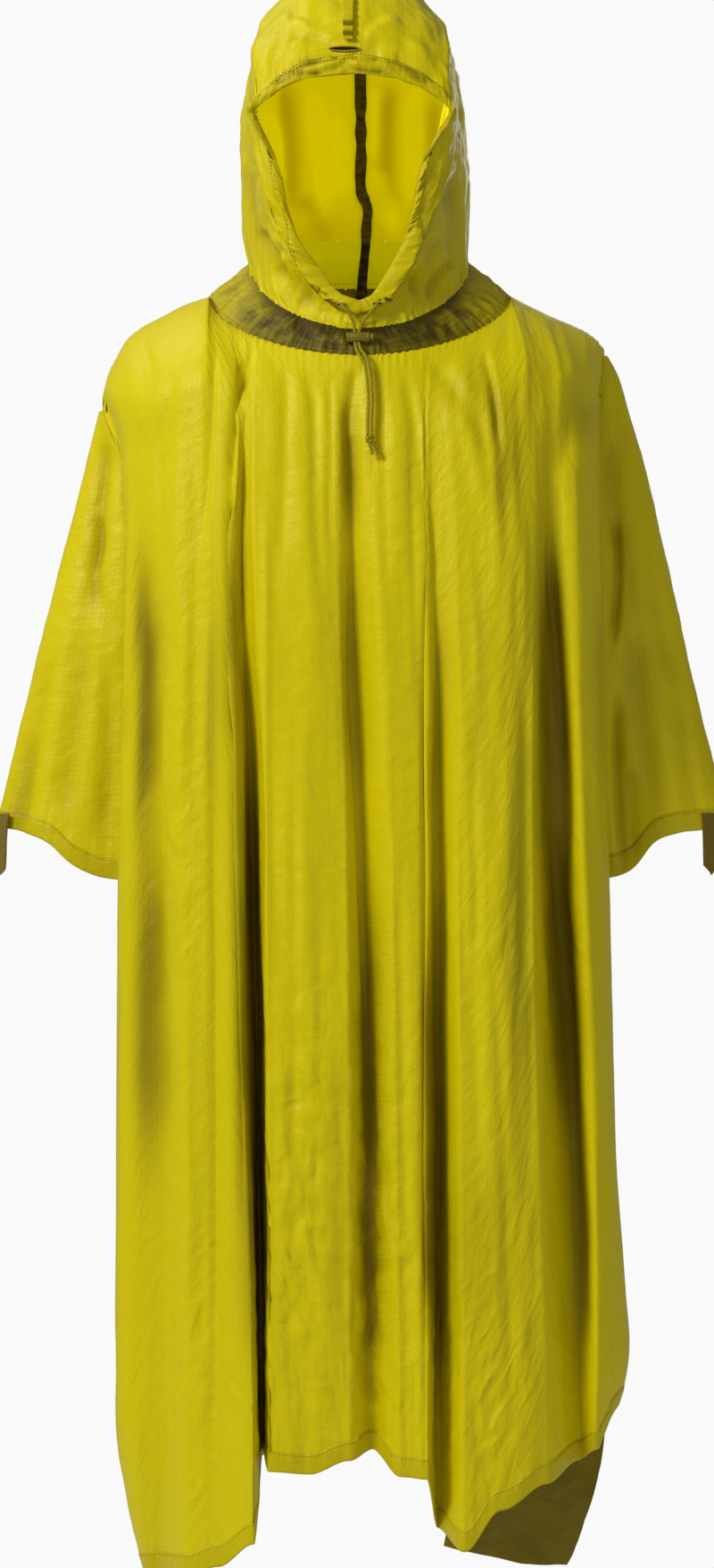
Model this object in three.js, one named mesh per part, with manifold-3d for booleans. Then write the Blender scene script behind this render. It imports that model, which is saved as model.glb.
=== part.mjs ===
import * as THREE from "three";
import { mergeVertices } from "three/addons/utils/BufferGeometryUtils.js";
import Module from "manifold-3d";

// A hooded rain poncho as it hangs when worn. Millimetres, Z up. The face opening looks
// along -Y, X = 0 is the centre line, and Z = 0 is the height of the base of the neck.

const CLOTH_WALL = 1.2;
const HEM_WALL = 2;
const SEAM_GAP = 0.3;
const HEM_WIDTH = 19;

// Typical drop of the body and of the arm cloth, and the gap left above each one's hem band.
const BODY_DROP = 1050;
const BODY_HEM_GAP = 1.5;
const ARM_DROP = 430;
const ARM_HEM_GAP = 0.7;

// The yoke's outer ring, where the body is sewn on, and its inner ring, where the hood is.
const YOKE = {
  halfWidth: 143,
  front: 130,
  back: 100,
  frontZ: -55,
  sideZ: 10,
  backZ: 28,
  wall: 2,
};
const NECK = {
  halfWidth: 103,
  front: 112,
  back: 80,
  centreY: -8,
  frontZ: -30,
  rise: 158,
  sag: 58,
  hoodGap: 0.4,
};

// Shoulder line from the yoke out to the point where the arm begins, on each side.
const SHOULDER_LEFT = [
  { x: 143, z: 10, gap: 1 },
  { x: 167, z: 2, gap: 1 },
  { x: 188, z: -9, gap: 1 },
  { x: 210, z: -21, gap: 1 },
  { x: 223, z: -33, gap: 2 },
  { x: 231, z: -48, gap: 6 },
  { x: 239, z: -65, gap: 10 },
  { x: 244, z: -84, gap: 14 },
];
const SHOULDER_RIGHT = [
  { x: 143, z: 11, gap: 1 },
  { x: 166, z: -1, gap: 1 },
  { x: 188, z: -11, gap: 1 },
  { x: 205, z: -18, gap: 1 },
  { x: 218, z: -25, gap: 4 },
  { x: 226, z: -32, gap: 9 },
  { x: 232, z: -40, gap: 14 },
];

// Half width of the body at its side folds, and reach of the arm line beyond them, by height.
const SIDE_FOLD = [
  { z: -40, left: 246, right: 231 },
  { z: -84, left: 244, right: 226 },
  { z: -110, left: 233, right: 225 },
  { z: -128, left: 227, right: 225 },
  { z: -170, left: 223, right: 226 },
  { z: -450, left: 225, right: 233 },
  { z: -790, left: 229, right: 241 },
  { z: -930, left: 229, right: 248 },
  { z: -985, left: 229, right: 251 },
  { z: -1061, left: 228, right: 235 },
  { z: -1120, left: 218, right: 218 },
  { z: -1190, left: 201, right: 205 },
];
const ARM_LINE = [
  { z: -40, left: 236, right: 233 },
  { z: -60, left: 240, right: 244 },
  { z: -89, left: 246, right: 253 },
  { z: -143, left: 259, right: 269 },
  { z: -231, left: 281, right: 290 },
  { z: -545, left: 359, right: 366 },
];

// Depth of the body at its middle and at its side folds, by height.
const DEPTH = [
  { z: 0, front: 128, back: 105, side: 20 },
  { z: -100, front: 150, back: 128, side: 46 },
  { z: -200, front: 160, back: 138, side: 66 },
  { z: -450, front: 162, back: 140, side: 74 },
  { z: -800, front: 168, back: 146, side: 78 },
  { z: -1190, front: 176, back: 154, side: 84 },
];

// The body is an oval in plan, flattened at its side folds by these two powers. Below the top
// seam the cloth rounds over the shoulder, settles to its place across and opens its folds.
const OVAL = { across: 2.6, depth: 0.42 };
const SHOULDER_ROUND = 95;
const SETTLES_WITHIN = 70;
const FOLDS_OPEN_WITHIN = 90;

// Heights at which the fold lines below give their place across and how far they stand out.
const LEVELS = [-110, -240, -450, -790, -1060];

// Ridges and valleys of the front from left to right: place on the top seam, place across and
// stand-out at each level, and the height of the cloth's edge below them.
const FRONT_FOLDS = [
  { top: -212, x: [-199, -197, -195, -188, -188], out: [-2, -8, -12, -14, -12], hem: -1187 },
  { top: -180, x: [-172, -167, -163, -158, -160], out: [4, 8, 12, 16, 16], hem: -1182 },
  { top: -143, x: [-142, -138, -136, -132, -130], out: [2, 6, 10, 14, 14], hem: -1172 },
  { top: -126, x: [-112, -117, -114, -105, -97], out: [3, 8, 14, 20, 24], hem: -1149 },
  { top: -112, x: [-106, -109, -101, -94, -90], out: [-4, -10, -24, -34, -46], hem: -1069 },
  { top: -94, x: [-96, -95, -87, -84, -83], out: [1, 3, 8, 14, 20], hem: -1083 },
  { top: -58, x: [-50, -48, -48, -46, -46], out: [2, 6, 10, 12, 12], hem: -1086 },
  { top: -25, x: [-24, -22, -15, -12, -10], out: [1, 3, 6, 8, 8], hem: -1074 },
  { top: 0, x: [-8, -6, 1, 6, 12], out: [-3, -6, -10, -12, -14], hem: -1066 },
  { top: 22, x: [20, 24, 30, 36, 38], out: [2, 5, 9, 12, 14], hem: -1088 },
  { top: 50, x: [56, 60, 62, 62, 62], out: [1, 4, 8, 14, 18], hem: -1090 },
  { top: 74, x: [66, 69, 71, 72, 72], out: [-1, -4, -12, -20, -24], hem: -1140 },
  { top: 100, x: [88, 92, 93, 94, 96], out: [2, 5, 8, 12, 16], hem: -1157 },
  { top: 126, x: [124, 130, 129, 130, 130], out: [4, 10, 14, 16, 14], hem: -1120 },
  { top: 143, x: [154, 160, 158, 163, 172], out: [2, 6, 8, 10, 10], hem: -1098 },
  { top: 166, x: [178, 176, 179, 193, 203], out: [-4, -12, -24, -28, -22], hem: -1082 },
  { top: 192, x: [202, 204, 208, 221, 221], out: [2, 4, 8, 8, 6], hem: -1070 },
];
const FRONT_CORNERS = { left: -1190, right: -1033 };

// The back's folds, seen from the front side as well, so left is still -X.
const BACK_FOLDS = [
  { top: -206, x: [-197, -196, -194, -190, -190], out: [-2, -8, -12, -12, -12], hem: -1176 },
  { top: -172, x: [-166, -162, -158, -154, -154], out: [3, 8, 12, 15, 16], hem: -1164 },
  { top: -143, x: [-126, -126, -122, -118, -116], out: [-1, -6, -14, -22, -24], hem: -1118 },
  { top: -114, x: [-92, -90, -86, -80, -78], out: [2, 8, 12, 16, 18], hem: -1110 },
  { top: -62, x: [-48, -46, -40, -36, -34], out: [0, -4, -10, -14, -18], hem: -1092 },
  { top: 0, x: [-4, -4, 0, 4, 6], out: [2, 6, 10, 14, 16], hem: -1096 },
  { top: 62, x: [46, 48, 50, 52, 54], out: [0, -4, -12, -20, -26], hem: -1090 },
  { top: 114, x: [86, 88, 92, 96, 98], out: [2, 7, 12, 17, 20], hem: -1112 },
  { top: 143, x: [126, 128, 134, 138, 142], out: [-1, -6, -12, -18, -22], hem: -1122 },
  { top: 168, x: [164, 166, 172, 178, 168], out: [3, 8, 11, 13, 14], hem: -1160 },
  { top: 200, x: [196, 198, 204, 214, 190], out: [-2, -8, -10, -10, -10], hem: -1178 },
];
const BACK_CORNERS = { left: -1184, right: -1190 };

// The side fold in plan, from the panel's edge inwards and back: above the arm's hem it turns
// in under the arm cloth, and below that it runs on to the closed side.
const FOLD_AT_ARM = [
  { inward: 1.5, behind: 7 },
  { inward: 7, behind: 12 },
  { inward: 16, behind: 13.5 },
  { inward: 26, behind: 12 },
];
const FOLD_BELOW_ARM = [
  { inward: 2, behind: 9 },
  { inward: 7, behind: 22 },
  { inward: 10, behind: 38 },
  { inward: 10, behind: 56 },
];

// Height of the arm cloth's foot from its outer edge (0) round to its inner turn (1).
const ARM_FOOT = [
  { round: 0, left: -494, right: -496 },
  { round: 0.45, left: -500, right: -497 },
  { round: 0.6, left: -510, right: -500 },
  { round: 0.72, left: -529, right: -509 },
  { round: 0.82, left: -539, right: -532 },
  { round: 1, left: -545, right: -545 },
];
const SIDE_CLOSES = { from: -548, to: -690 };
const SIDE_HEM = { above: 38, openReach: 17, foldGap: 2.2, middleGap: 0.4, lean: 2, rows: 12 };

// Outline of the face opening from the chin up to the middle of the brim.
const FACE_EDGE = [
  { share: 0, z: -4, left: 0, right: 0 },
  { share: 0.08, z: 0, left: 15, right: 10 },
  { share: 0.15, z: 9, left: 26, right: 17 },
  { share: 0.25, z: 24, left: 35, right: 26 },
  { share: 0.35, z: 40, left: 48, right: 35 },
  { share: 0.45, z: 56, left: 58, right: 42 },
  { share: 0.55, z: 82, left: 67, right: 49 },
  { share: 0.64, z: 107, left: 71, right: 53 },
  { share: 0.7, z: 125, left: 78, right: 59 },
  { share: 0.76, z: 143, left: 89, right: 70 },
  { share: 0.82, z: 160, left: 98, right: 83 },
  { share: 0.86, z: 170, left: 100, right: 86 },
  { share: 0.9, z: 180, left: 90, right: 78 },
  { share: 0.94, z: 193, left: 72, right: 58 },
  { share: 0.97, z: 202, left: 50, right: 34 },
  { share: 1, z: 206, left: 0, right: 0 },
];
const FACE_PLANE = { chinY: -126, browY: -128, setBack: 14 };

// Rings of the hood from the brim over the crown to the nape: the ring's far point, its half
// width on each side, and how far its widest place is moved away from the chin.
const HOOD_RINGS = [
  { share: 0, y: -128, z: 206, left: 98, right: 92, skew: 0.8 },
  { share: 0.1, y: -112, z: 246, left: 101, right: 94, skew: 0.62 },
  { share: 0.22, y: -76, z: 284, left: 107, right: 98, skew: 0.44 },
  { share: 0.36, y: -18, z: 310, left: 111, right: 101, skew: 0.3 },
  { share: 0.5, y: 48, z: 298, left: 113, right: 103, skew: 0.2 },
  { share: 0.64, y: 104, z: 250, left: 113, right: 103, skew: 0.14 },
  { share: 0.78, y: 124, z: 186, left: 112, right: 103, skew: 0.08 },
  { share: 0.9, y: 104, z: 122, left: 108, right: 101, skew: 0.03 },
  { share: 1, y: 72, z: 70, left: 103, right: 101, skew: 0 },
];
const FACE_TUNNEL = { width: 15, wall: 2.6, swell: 1.8, seamGap: 2.2, rows: 4 };
const HOOD_ROWS = 13;

const CROWN_TUNNEL = {
  from: 0.04,
  to: 0.5,
  width: 10,
  steps: 24,
  x: 0,
  raise: 1.6,
  thickness: 1.2,
  pucker: 1,
};
const SEAM_TAPE = {
  from: 0.03,
  to: 0.98,
  width: 10,
  steps: 26,
  x: 4,
  raise: -1.6,
  thickness: 1,
  pucker: 0,
};

const CORD = { diameter: 3, sides: 8, steps: 18 };
const LOCK = {
  length: 22,
  buttonLength: 3.6,
  diameter: 9.6,
  slotWidth: 7.8,
  slotDepth: 5,
  strandX: -2.55,
  x: -1.5,
  y: -132.6,
  z: -39,
};
const KNOT = { width: 8.5, height: 7, endLength: 14, x: 9.2, y: -162.6, z: -135.5 };
const TAB = {
  width: 17,
  wall: 2,
  length: 50,
  from: 0.965,
  lean: 0.1,
  leftPlace: 0.2,
  leftClear: 1.3,
  rightPlace: 0.36,
  rightClear: 0.8,
};

const PANEL_ROWS = 21;
const BACK_ROWS = 16;
const STEPS_BETWEEN_FOLDS = 2;

const COLOURS = {
  shell: 0xd6c800,
  doubled: 0xa89c08,
  tape: 0x453510,
  tab: 0x7d6414,
  cord: 0xb3a60a,
  lock: 0x8f8410,
};

const lerp = THREE.MathUtils.lerp;
const clamp = THREE.MathUtils.clamp;
const smooth = (t) => {
  const u = clamp(t, 0, 1);
  return u * u * (3 - 2 * u);
};

// Value of a table's column at a key that runs up or down the rows.
function readTable(rows, key, column, at) {
  const rising = rows[rows.length - 1][key] > rows[0][key] ? 1 : -1;
  let i = 0;
  while (i < rows.length - 2 && rising * (at - rows[i + 1][key]) > 0) {
    i += 1;
  }
  const a = rows[i];
  const b = rows[i + 1];
  const t = clamp((at - a[key]) / (b[key] - a[key]), 0, 1);
  return lerp(a[column], b[column], t);
}

// Value at a height of a list that has one entry for each level.
function readLevels(values, z) {
  const rows = LEVELS.map((level, i) => ({ level, value: values[i] }));
  return readTable(rows, "level", "value", z);
}

function makeMesh(name, geometry, colour, roughness = 0.5) {
  const material = new THREE.MeshStandardMaterial({ color: colour, roughness, metalness: 0 });
  const mesh = new THREE.Mesh(geometry, material);
  mesh.name = name;
  return mesh;
}

// Outward normal at each point of a grid, from its neighbours along the rows and columns, or
// from its row's plan alone in the level rows.
function gridNormals(grid, closed, flip, levelFrom) {
  const rows = grid.length;
  const cols = grid[0].length;
  return grid.map((row, i) =>
    row.map((point, j) => {
      const up = grid[Math.max(i - 1, 0)][j];
      const down = grid[Math.min(i + 1, rows - 1)][j];
      const left = closed ? row[(j + cols - 1) % cols] : row[Math.max(j - 1, 0)];
      const right = closed ? row[(j + 1) % cols] : row[Math.min(j + 1, cols - 1)];
      const across = right.clone().sub(left);
      const along = i < levelFrom ? down.clone().sub(up) : new THREE.Vector3(0, 0, -1);
      return across.cross(along).normalize().multiplyScalar(flip);
    }),
  );
}

function signedVolume(positions, index) {
  let sum = 0;
  const a = new THREE.Vector3();
  const b = new THREE.Vector3();
  const c = new THREE.Vector3();
  for (let i = 0; i < index.length; i += 3) {
    a.fromArray(positions, index[i] * 3);
    b.fromArray(positions, index[i + 1] * 3);
    c.fromArray(positions, index[i + 2] * 3);
    sum += a.dot(b.cross(c));
  }
  return sum;
}

// Closed wall on a grid of outer points, as thick as stated towards the side that flip gives.
// Rows from levelFrom on are thickened level, so that the next piece can butt against them.
function wall(grid, thickness, { closed = false, flip = 1, levelFrom = Infinity } = {}) {
  const rows = grid.length;
  const cols = grid[0].length;
  const normals = gridNormals(grid, closed, flip, levelFrom);
  const positions = [];
  grid.flat().forEach((p) => positions.push(p.x, p.y, p.z));
  grid.forEach((row, i) =>
    row.forEach((p, j) => {
      const q = p.clone().addScaledVector(normals[i][j], -thickness);
      positions.push(q.x, q.y, q.z);
    }),
  );
  const outer = (i, j) => i * cols + (j % cols);
  const inner = (i, j) => rows * cols + outer(i, j);
  const index = [];
  const quad = (a, b, c, d) => index.push(a, b, c, a, c, d);
  const spans = closed ? cols : cols - 1;
  for (let j = 0; j < spans; j += 1) {
    for (let i = 0; i < rows - 1; i += 1) {
      quad(outer(i, j), outer(i + 1, j), outer(i + 1, j + 1), outer(i, j + 1));
      quad(inner(i, j), inner(i, j + 1), inner(i + 1, j + 1), inner(i + 1, j));
    }
    quad(outer(0, j), outer(0, j + 1), inner(0, j + 1), inner(0, j));
    quad(outer(rows - 1, j + 1), outer(rows - 1, j), inner(rows - 1, j), inner(rows - 1, j + 1));
  }
  if (!closed) {
    for (let i = 0; i < rows - 1; i += 1) {
      quad(outer(i + 1, 0), outer(i, 0), inner(i, 0), inner(i + 1, 0));
      quad(outer(i, spans), outer(i + 1, spans), inner(i + 1, spans), inner(i, spans));
    }
  }
  if (signedVolume(positions, index) < 0) {
    for (let k = 0; k < index.length; k += 3) {
      [index[k + 1], index[k + 2]] = [index[k + 2], index[k + 1]];
    }
  }
  const geometry = new THREE.BufferGeometry();
  geometry.setAttribute("position", new THREE.Float32BufferAttribute(positions, 3));
  geometry.setIndex(index);
  return geometry;
}

// Top seam of a body panel at a place across: the yoke's ring, then the shoulder line.
function topSeam(x, side) {
  if (Math.abs(x) <= YOKE.halfWidth) {
    return yokeSeam(Math.asin(x / YOKE.halfWidth), side);
  }
  const table = x < 0 ? SHOULDER_LEFT : SHOULDER_RIGHT;
  const z = readTable(table, "x", "z", Math.abs(x));
  const gap = readTable(table, "x", "gap", Math.abs(x));
  return new THREE.Vector3(x, side * gap, z);
}

// Yoke and body seam at an angle from the centre line; side is -1 in front and 1 behind.
function yokeSeam(angle, side) {
  const c = Math.cos(angle);
  const reach = side < 0 ? YOKE.front : YOKE.back;
  const end = side < 0 ? YOKE.frontZ : YOKE.backZ;
  const lift = 1 - c;
  const z = lerp(end, YOKE.sideZ, lift + (side < 0 ? 0.2 * lift * c : 0));
  return new THREE.Vector3(YOKE.halfWidth * Math.sin(angle), side * (reach * c + 1), z);
}

// Neck seam at an angle from the front (0) round to the back (PI).
function neckSeam(turn) {
  const share = (1 - Math.cos(turn)) / 2;
  const reach = Math.cos(turn) > 0 ? NECK.front : NECK.back;
  return new THREE.Vector3(
    NECK.halfWidth * Math.sin(turn),
    NECK.centreY - reach * Math.cos(turn),
    NECK.frontZ + NECK.rise * share - NECK.sag * share * share,
  );
}

const sideName = (x) => (x < 0 ? "left" : "right");

function foldHalfWidth(x, z) {
  return readTable(SIDE_FOLD, "z", sideName(x), z);
}

// Plain depth of the body at a place, before its folds: an oval flattened at the side folds.
function plainDepth(x, z, side) {
  const middle = readTable(DEPTH, "z", side < 0 ? "front" : "back", z);
  const edge = readTable(DEPTH, "z", "side", z);
  const across = clamp(Math.abs(x) / foldHalfWidth(x, z), 0, 1);
  return edge + (middle - edge) * Math.pow(1 - Math.pow(across, OVAL.across), OVAL.depth);
}

// Outer end of the shoulder line on a side, and the quarter oval from it down to full depth.
function shoulderTip(edge) {
  const table = edge < 0 ? SHOULDER_LEFT : SHOULDER_RIGHT;
  return table[table.length - 1];
}

function roundedOver(drop) {
  const over = clamp(drop / SHOULDER_ROUND, 0, 1);
  return Math.sqrt(1 - (1 - over) * (1 - over));
}

// Columns of a panel from its left to its right side fold, with steps between the fold lines.
function panelColumns(folds, corners) {
  const still = [0, 0, 0, 0, 0];
  const leftEdge = { top: -shoulderTip(-1).x, edge: -1, out: still, hem: corners.left };
  const rightEdge = { top: shoulderTip(1).x, edge: 1, out: still, hem: corners.right };
  const lines = [leftEdge, ...folds, rightEdge];
  const columns = [];
  for (let i = 0; i < lines.length - 1; i += 1) {
    for (let k = 0; k < STEPS_BETWEEN_FOLDS; k += 1) {
      columns.push({ a: lines[i], b: lines[i + 1], t: k / STEPS_BETWEEN_FOLDS });
    }
  }
  columns.push({ a: lines[lines.length - 2], b: rightEdge, t: 1 });
  return columns;
}

function lineAcross(line, z) {
  if (line.edge) {
    return line.edge * foldHalfWidth(line.edge, z);
  }
  return readLevels(line.x, z);
}

// Place across on the top seam between two fold lines, even in angle round the yoke.
function topPlace(a, b, t) {
  const onRing = (x) => Math.abs(x) <= YOKE.halfWidth;
  if (onRing(a.top) && onRing(b.top)) {
    const angle = lerp(Math.asin(a.top / YOKE.halfWidth), Math.asin(b.top / YOKE.halfWidth), t);
    return YOKE.halfWidth * Math.sin(angle);
  }
  return lerp(a.top, b.top, t);
}

// Point of a body panel on a column at a share of the way from the top seam to the edge.
function panelPoint(column, share, side) {
  const { a, b, t } = column;
  const ease = smooth(t);
  const start = topSeam(topPlace(a, b, t), side);
  const z = lerp(start.z, lerp(a.hem, b.hem, ease), share);
  const drop = start.z - z;
  const settled = lerp(lineAcross(a, z), lineAcross(b, z), t);
  const x = lerp(start.x, settled, smooth(drop / SETTLES_WITHIN));
  const opened = smooth(drop / FOLDS_OPEN_WITHIN);
  const out = lerp(readLevels(a.out, z), readLevels(b.out, z), ease) * opened;
  const depth = lerp(Math.abs(start.y), plainDepth(x, z, side), roundedOver(drop)) + out;
  return new THREE.Vector3(x, side * depth, z);
}

// How far the side fold has opened below the shoulder point, and closed in below the arm.
const SMALLEST_FOLD = 0.28;

function foldGrowth(edge, z) {
  return lerp(SMALLEST_FOLD, 1, smooth((shoulderTip(edge).z - z) / FOLDS_OPEN_WITHIN));
}

function belowArm(z) {
  return smooth((SIDE_CLOSES.from - z) / (SIDE_CLOSES.from - SIDE_CLOSES.to));
}

// A point of the side fold, set off from the panel's edge point by the two fold tables.
function foldPoint(edgePoint, edge, side, k) {
  const z = edgePoint.z;
  const low = belowArm(z);
  const growth = foldGrowth(edge, z);
  const inward = lerp(FOLD_AT_ARM[k].inward, FOLD_BELOW_ARM[k].inward, low) * growth;
  const behind = lerp(FOLD_AT_ARM[k].behind, FOLD_BELOW_ARM[k].behind, low) * growth;
  return new THREE.Vector3(
    edgePoint.x - edge * inward,
    edgePoint.y - side * behind,
    z,
  );
}

// One row of a panel across both side folds, at a share of its height.
function panelRow(columns, share, side) {
  const middle = columns.map((column) => panelPoint(column, share, side));
  const last = middle.length - 1;
  const turns = FOLD_AT_ARM.map((_, k) => k);
  const left = turns.map((k) => foldPoint(middle[0], -1, side, k)).reverse();
  const right = turns.map((k) => foldPoint(middle[last], 1, side, k));
  return [...left, ...middle, ...right];
}

// Shares of the height for a panel's rows, closer together on the shoulder.
const ROW_CROWDING = 1.35;

function rowShares(count, last) {
  return Array.from({ length: count + 1 }, (_, i) => Math.pow(i / count, ROW_CROWDING) * last);
}

const HEM_SHARE = HEM_WIDTH / BODY_DROP;
const HEM_GAP_SHARE = BODY_HEM_GAP / BODY_DROP;

function bodyPanel(columns, side, rows) {
  const grid = rowShares(rows, 1 - HEM_SHARE).map((share) => panelRow(columns, share, side));
  return wall(grid, CLOTH_WALL, { flip: side, levelFrom: rows });
}

function bodyHem(columns, side) {
  const from = 1 - HEM_SHARE + HEM_GAP_SHARE;
  const grid = [from, 1].map((share) => panelRow(columns, share, side));
  return wall(grid, HEM_WALL, { flip: side, levelFrom: 0 });
}

// The panel's outermost point at a height on its side fold.
function sideEdgeAt(edge, z, side) {
  const tip = shoulderTip(edge);
  const drop = tip.z - z;
  const settled = edge * foldHalfWidth(edge, z);
  const x = lerp(edge * tip.x, settled, smooth(drop / SETTLES_WITHIN));
  const depth = lerp(tip.gap, plainDepth(settled, z, side), roundedOver(drop));
  return new THREE.Vector3(x, side * depth, z);
}

// The turned hem that closes the side, from the fold's last column to the middle plane.
function sideHem(edge, side, foot) {
  const last = FOLD_BELOW_ARM.length - 1;
  const { above, openReach, foldGap, middleGap, lean, rows } = SIDE_HEM;
  const grid = Array.from({ length: rows + 1 }, (_, i) => {
    const z = lerp(SIDE_CLOSES.from - above, foot + HEM_WIDTH + HEM_WALL, i / rows);
    const from = foldPoint(sideEdgeAt(edge, z, side), edge, side, last);
    const reach = lerp(openReach, Math.abs(from.y) - middleGap, belowArm(z));
    const start = from.clone().add(new THREE.Vector3(0, -side * foldGap, 0));
    const end = new THREE.Vector3(from.x + edge * lean, from.y - side * reach, z);
    return edge < 0 ? [end, start] : [start, end];
  });
  return wall(grid, HEM_WALL, { flip: side });
}

// Plan of the arm cloth at a height: round the side fold's inner turn, out along the front of
// the arm, over the arm line and back in behind. Share q runs from -1 in front to 1 behind.
const ARM_TURN = [
  { inward: 0, behind: 0 },
  { inward: 5, behind: 1.5 },
  { inward: 7.5, behind: 6 },
  { inward: 5, behind: 11 },
];
const ARM_SEAM = 3.4;
const ARM_SET_BACK = 14;
const ARM_START = { left: 15, right: 6 };
const ARM_STEPS = 12;
const ARM_ROWS = 9;

function armColumn(edge, k, topZ, share) {
  const turns = ARM_TURN.length;
  const last = 2 * turns + ARM_STEPS;
  const side = k < turns + ARM_STEPS / 2 ? -1 : 1;
  const nearest = Math.min(k, last - k);
  const q = clamp((k - turns) / ARM_STEPS, 0, 1) * 2 - 1;
  const z = lerp(topZ, readTable(ARM_FOOT, "round", sideName(edge), Math.abs(q)), share);
  const legEnd = foldPoint(sideEdgeAt(edge, z, side), edge, side, FOLD_AT_ARM.length - 1);
  const growth = foldGrowth(edge, z);
  if (nearest < turns) {
    const turn = ARM_TURN[nearest];
    const inward = ARM_SEAM + turn.inward * growth;
    return new THREE.Vector3(legEnd.x - edge * inward, legEnd.y - side * turn.behind * growth, z);
  }
  const reach = edge * readTable(ARM_LINE, "z", sideName(edge), z);
  const halfDepth = Math.abs(legEnd.y) - ARM_SET_BACK * growth;
  const angle = (q * Math.PI) / 2;
  return new THREE.Vector3(
    lerp(legEnd.x, reach, Math.cos(angle)),
    halfDepth * Math.sin(angle),
    z,
  );
}

function armTop(edge) {
  return shoulderTip(edge).z - ARM_START[sideName(edge)];
}

function armGrid(edge, shares) {
  const topZ = armTop(edge);
  const count = 2 * ARM_TURN.length + ARM_STEPS + 1;
  const ks = Array.from({ length: count }, (_, k) => k);
  return shares.map((share) => ks.map((k) => armColumn(edge, k, topZ, share)));
}

const ARM_HEM_SHARE = HEM_WIDTH / ARM_DROP;
const ARM_GAP_SHARE = ARM_HEM_GAP / ARM_DROP;

function armCloth(edge) {
  const grid = armGrid(edge, rowShares(ARM_ROWS, 1 - ARM_HEM_SHARE));
  return wall(grid, CLOTH_WALL, { flip: -edge, levelFrom: ARM_ROWS });
}

function armHem(edge) {
  const grid = armGrid(edge, [1 - ARM_HEM_SHARE + ARM_GAP_SHARE, 1]);
  return wall(grid, HEM_WALL, { flip: -edge, levelFrom: 0 });
}

// Webbing strip sewn on the arm's hem near the arm line, with a round or a pointed end.
function armTab(edge, q, clear, pointed) {
  const half = TAB.width / 2;
  const outline = new THREE.Shape();
  outline.moveTo(-half, 0);
  outline.lineTo(-half, -TAB.length);
  if (pointed) {
    outline.lineTo(0, -TAB.length - half);
    outline.lineTo(half, -TAB.length);
  } else {
    outline.absarc(0, -TAB.length, half, Math.PI, 2 * Math.PI, false);
  }
  outline.lineTo(half, 0);
  outline.closePath();
  const strip = new THREE.ExtrudeGeometry(outline, {
    depth: TAB.wall,
    bevelEnabled: false,
    curveSegments: 8,
  });
  const k = ARM_TURN.length + ((q + 1) / 2) * ARM_STEPS;
  const topZ = armTop(edge);
  const at = armColumn(edge, k, topZ, TAB.from);
  const before = armColumn(edge, k - 0.5, topZ, TAB.from);
  const ahead = armColumn(edge, k + 0.5, topZ, TAB.from);
  const across = ahead.sub(before).setZ(0).normalize().multiplyScalar(-edge);
  const out = across.clone().cross(new THREE.Vector3(0, 0, -1)).normalize();
  const up = new THREE.Vector3(0, 0, 1);
  const frame = new THREE.Matrix4().makeBasis(across.clone().negate(), up, out);
  const lean = new THREE.Matrix4().makeRotationX(-TAB.lean);
  const place = at.clone().addScaledVector(out, clear);
  strip.applyMatrix4(lean).applyMatrix4(frame.setPosition(place));
  return strip;
}

// Angles round the neck at which the yoke and the hood have columns, from the left side round
// the front, the right side and the back: those of the panels' own columns.
function neckTurns() {
  const places = (columns) => columns.map(({ a, b, t }) => topPlace(a, b, t));
  const ring = (columns) => places(columns).filter((x) => Math.abs(x) <= YOKE.halfWidth + 1e-6);
  const angle = (x) => Math.asin(clamp(x / YOKE.halfWidth, -1, 1));
  const front = ring(frontColumns).map(angle);
  const back = ring(backColumns).map((x) => Math.PI - angle(x)).reverse();
  return [...front, ...back.slice(1, -1)];
}

function yokeGeometry(turns) {
  const rows = 3;
  const grid = Array.from({ length: rows + 1 }, (_, i) =>
    turns.map((turn, j) => {
      const side = Math.cos(turn) > 0 ? -1 : 1;
      const angle = side < 0 ? turn : Math.PI - turn;
      const outer = yokeSeam(angle, side);
      const inner = neckSeam(turn);
      const width = inner.distanceTo(outer);
      const share = lerp(0.8 / width, 1 - 0.9 / width, i / rows);
      const swell = 2.5 * Math.sin(Math.PI * share) + (i === rows ? 0 : 0.5 * (j % 2));
      const point = inner.lerp(outer, share);
      const out = new THREE.Vector3(Math.sin(turn), -Math.cos(turn), 0.8).normalize();
      return point.addScaledVector(out, swell);
    }),
  );
  return wall(grid, YOKE.wall, { closed: true, flip: -1 });
}

// Face opening's edge at an angle from the chin (0) up its right side to the brim (PI).
function faceEdge(turn) {
  const share = (1 - Math.cos(turn)) / 2;
  const across = readTable(FACE_EDGE, "share", Math.sin(turn) < 0 ? "left" : "right", share);
  return new THREE.Vector3(
    Math.sign(Math.sin(turn)) * across,
    lerp(FACE_PLANE.chinY, FACE_PLANE.browY, share) + FACE_PLANE.setBack * Math.sin(Math.PI * share),
    readTable(FACE_EDGE, "share", "z", share),
  );
}

// A plain ring of the hood: it leans back from the chin to its far point over the crown.
function hoodRing(turn, share) {
  const up = (1 - Math.cos(turn)) / 2;
  const value = (column) => readTable(HOOD_RINGS, "share", column, share);
  const width = value(Math.sin(turn) < 0 ? "left" : "right");
  const neck = neckSeam(0);
  const nearY = lerp(FACE_PLANE.chinY, neck.y, share);
  const nearZ = lerp(FACE_EDGE[0].z, neck.z, share);
  const lean = turn - value("skew") * Math.sin(turn);
  return new THREE.Vector3(
    width * Math.sin(lean),
    lerp(nearY, value("y"), up),
    lerp(nearZ, value("z"), up),
  );
}

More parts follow.
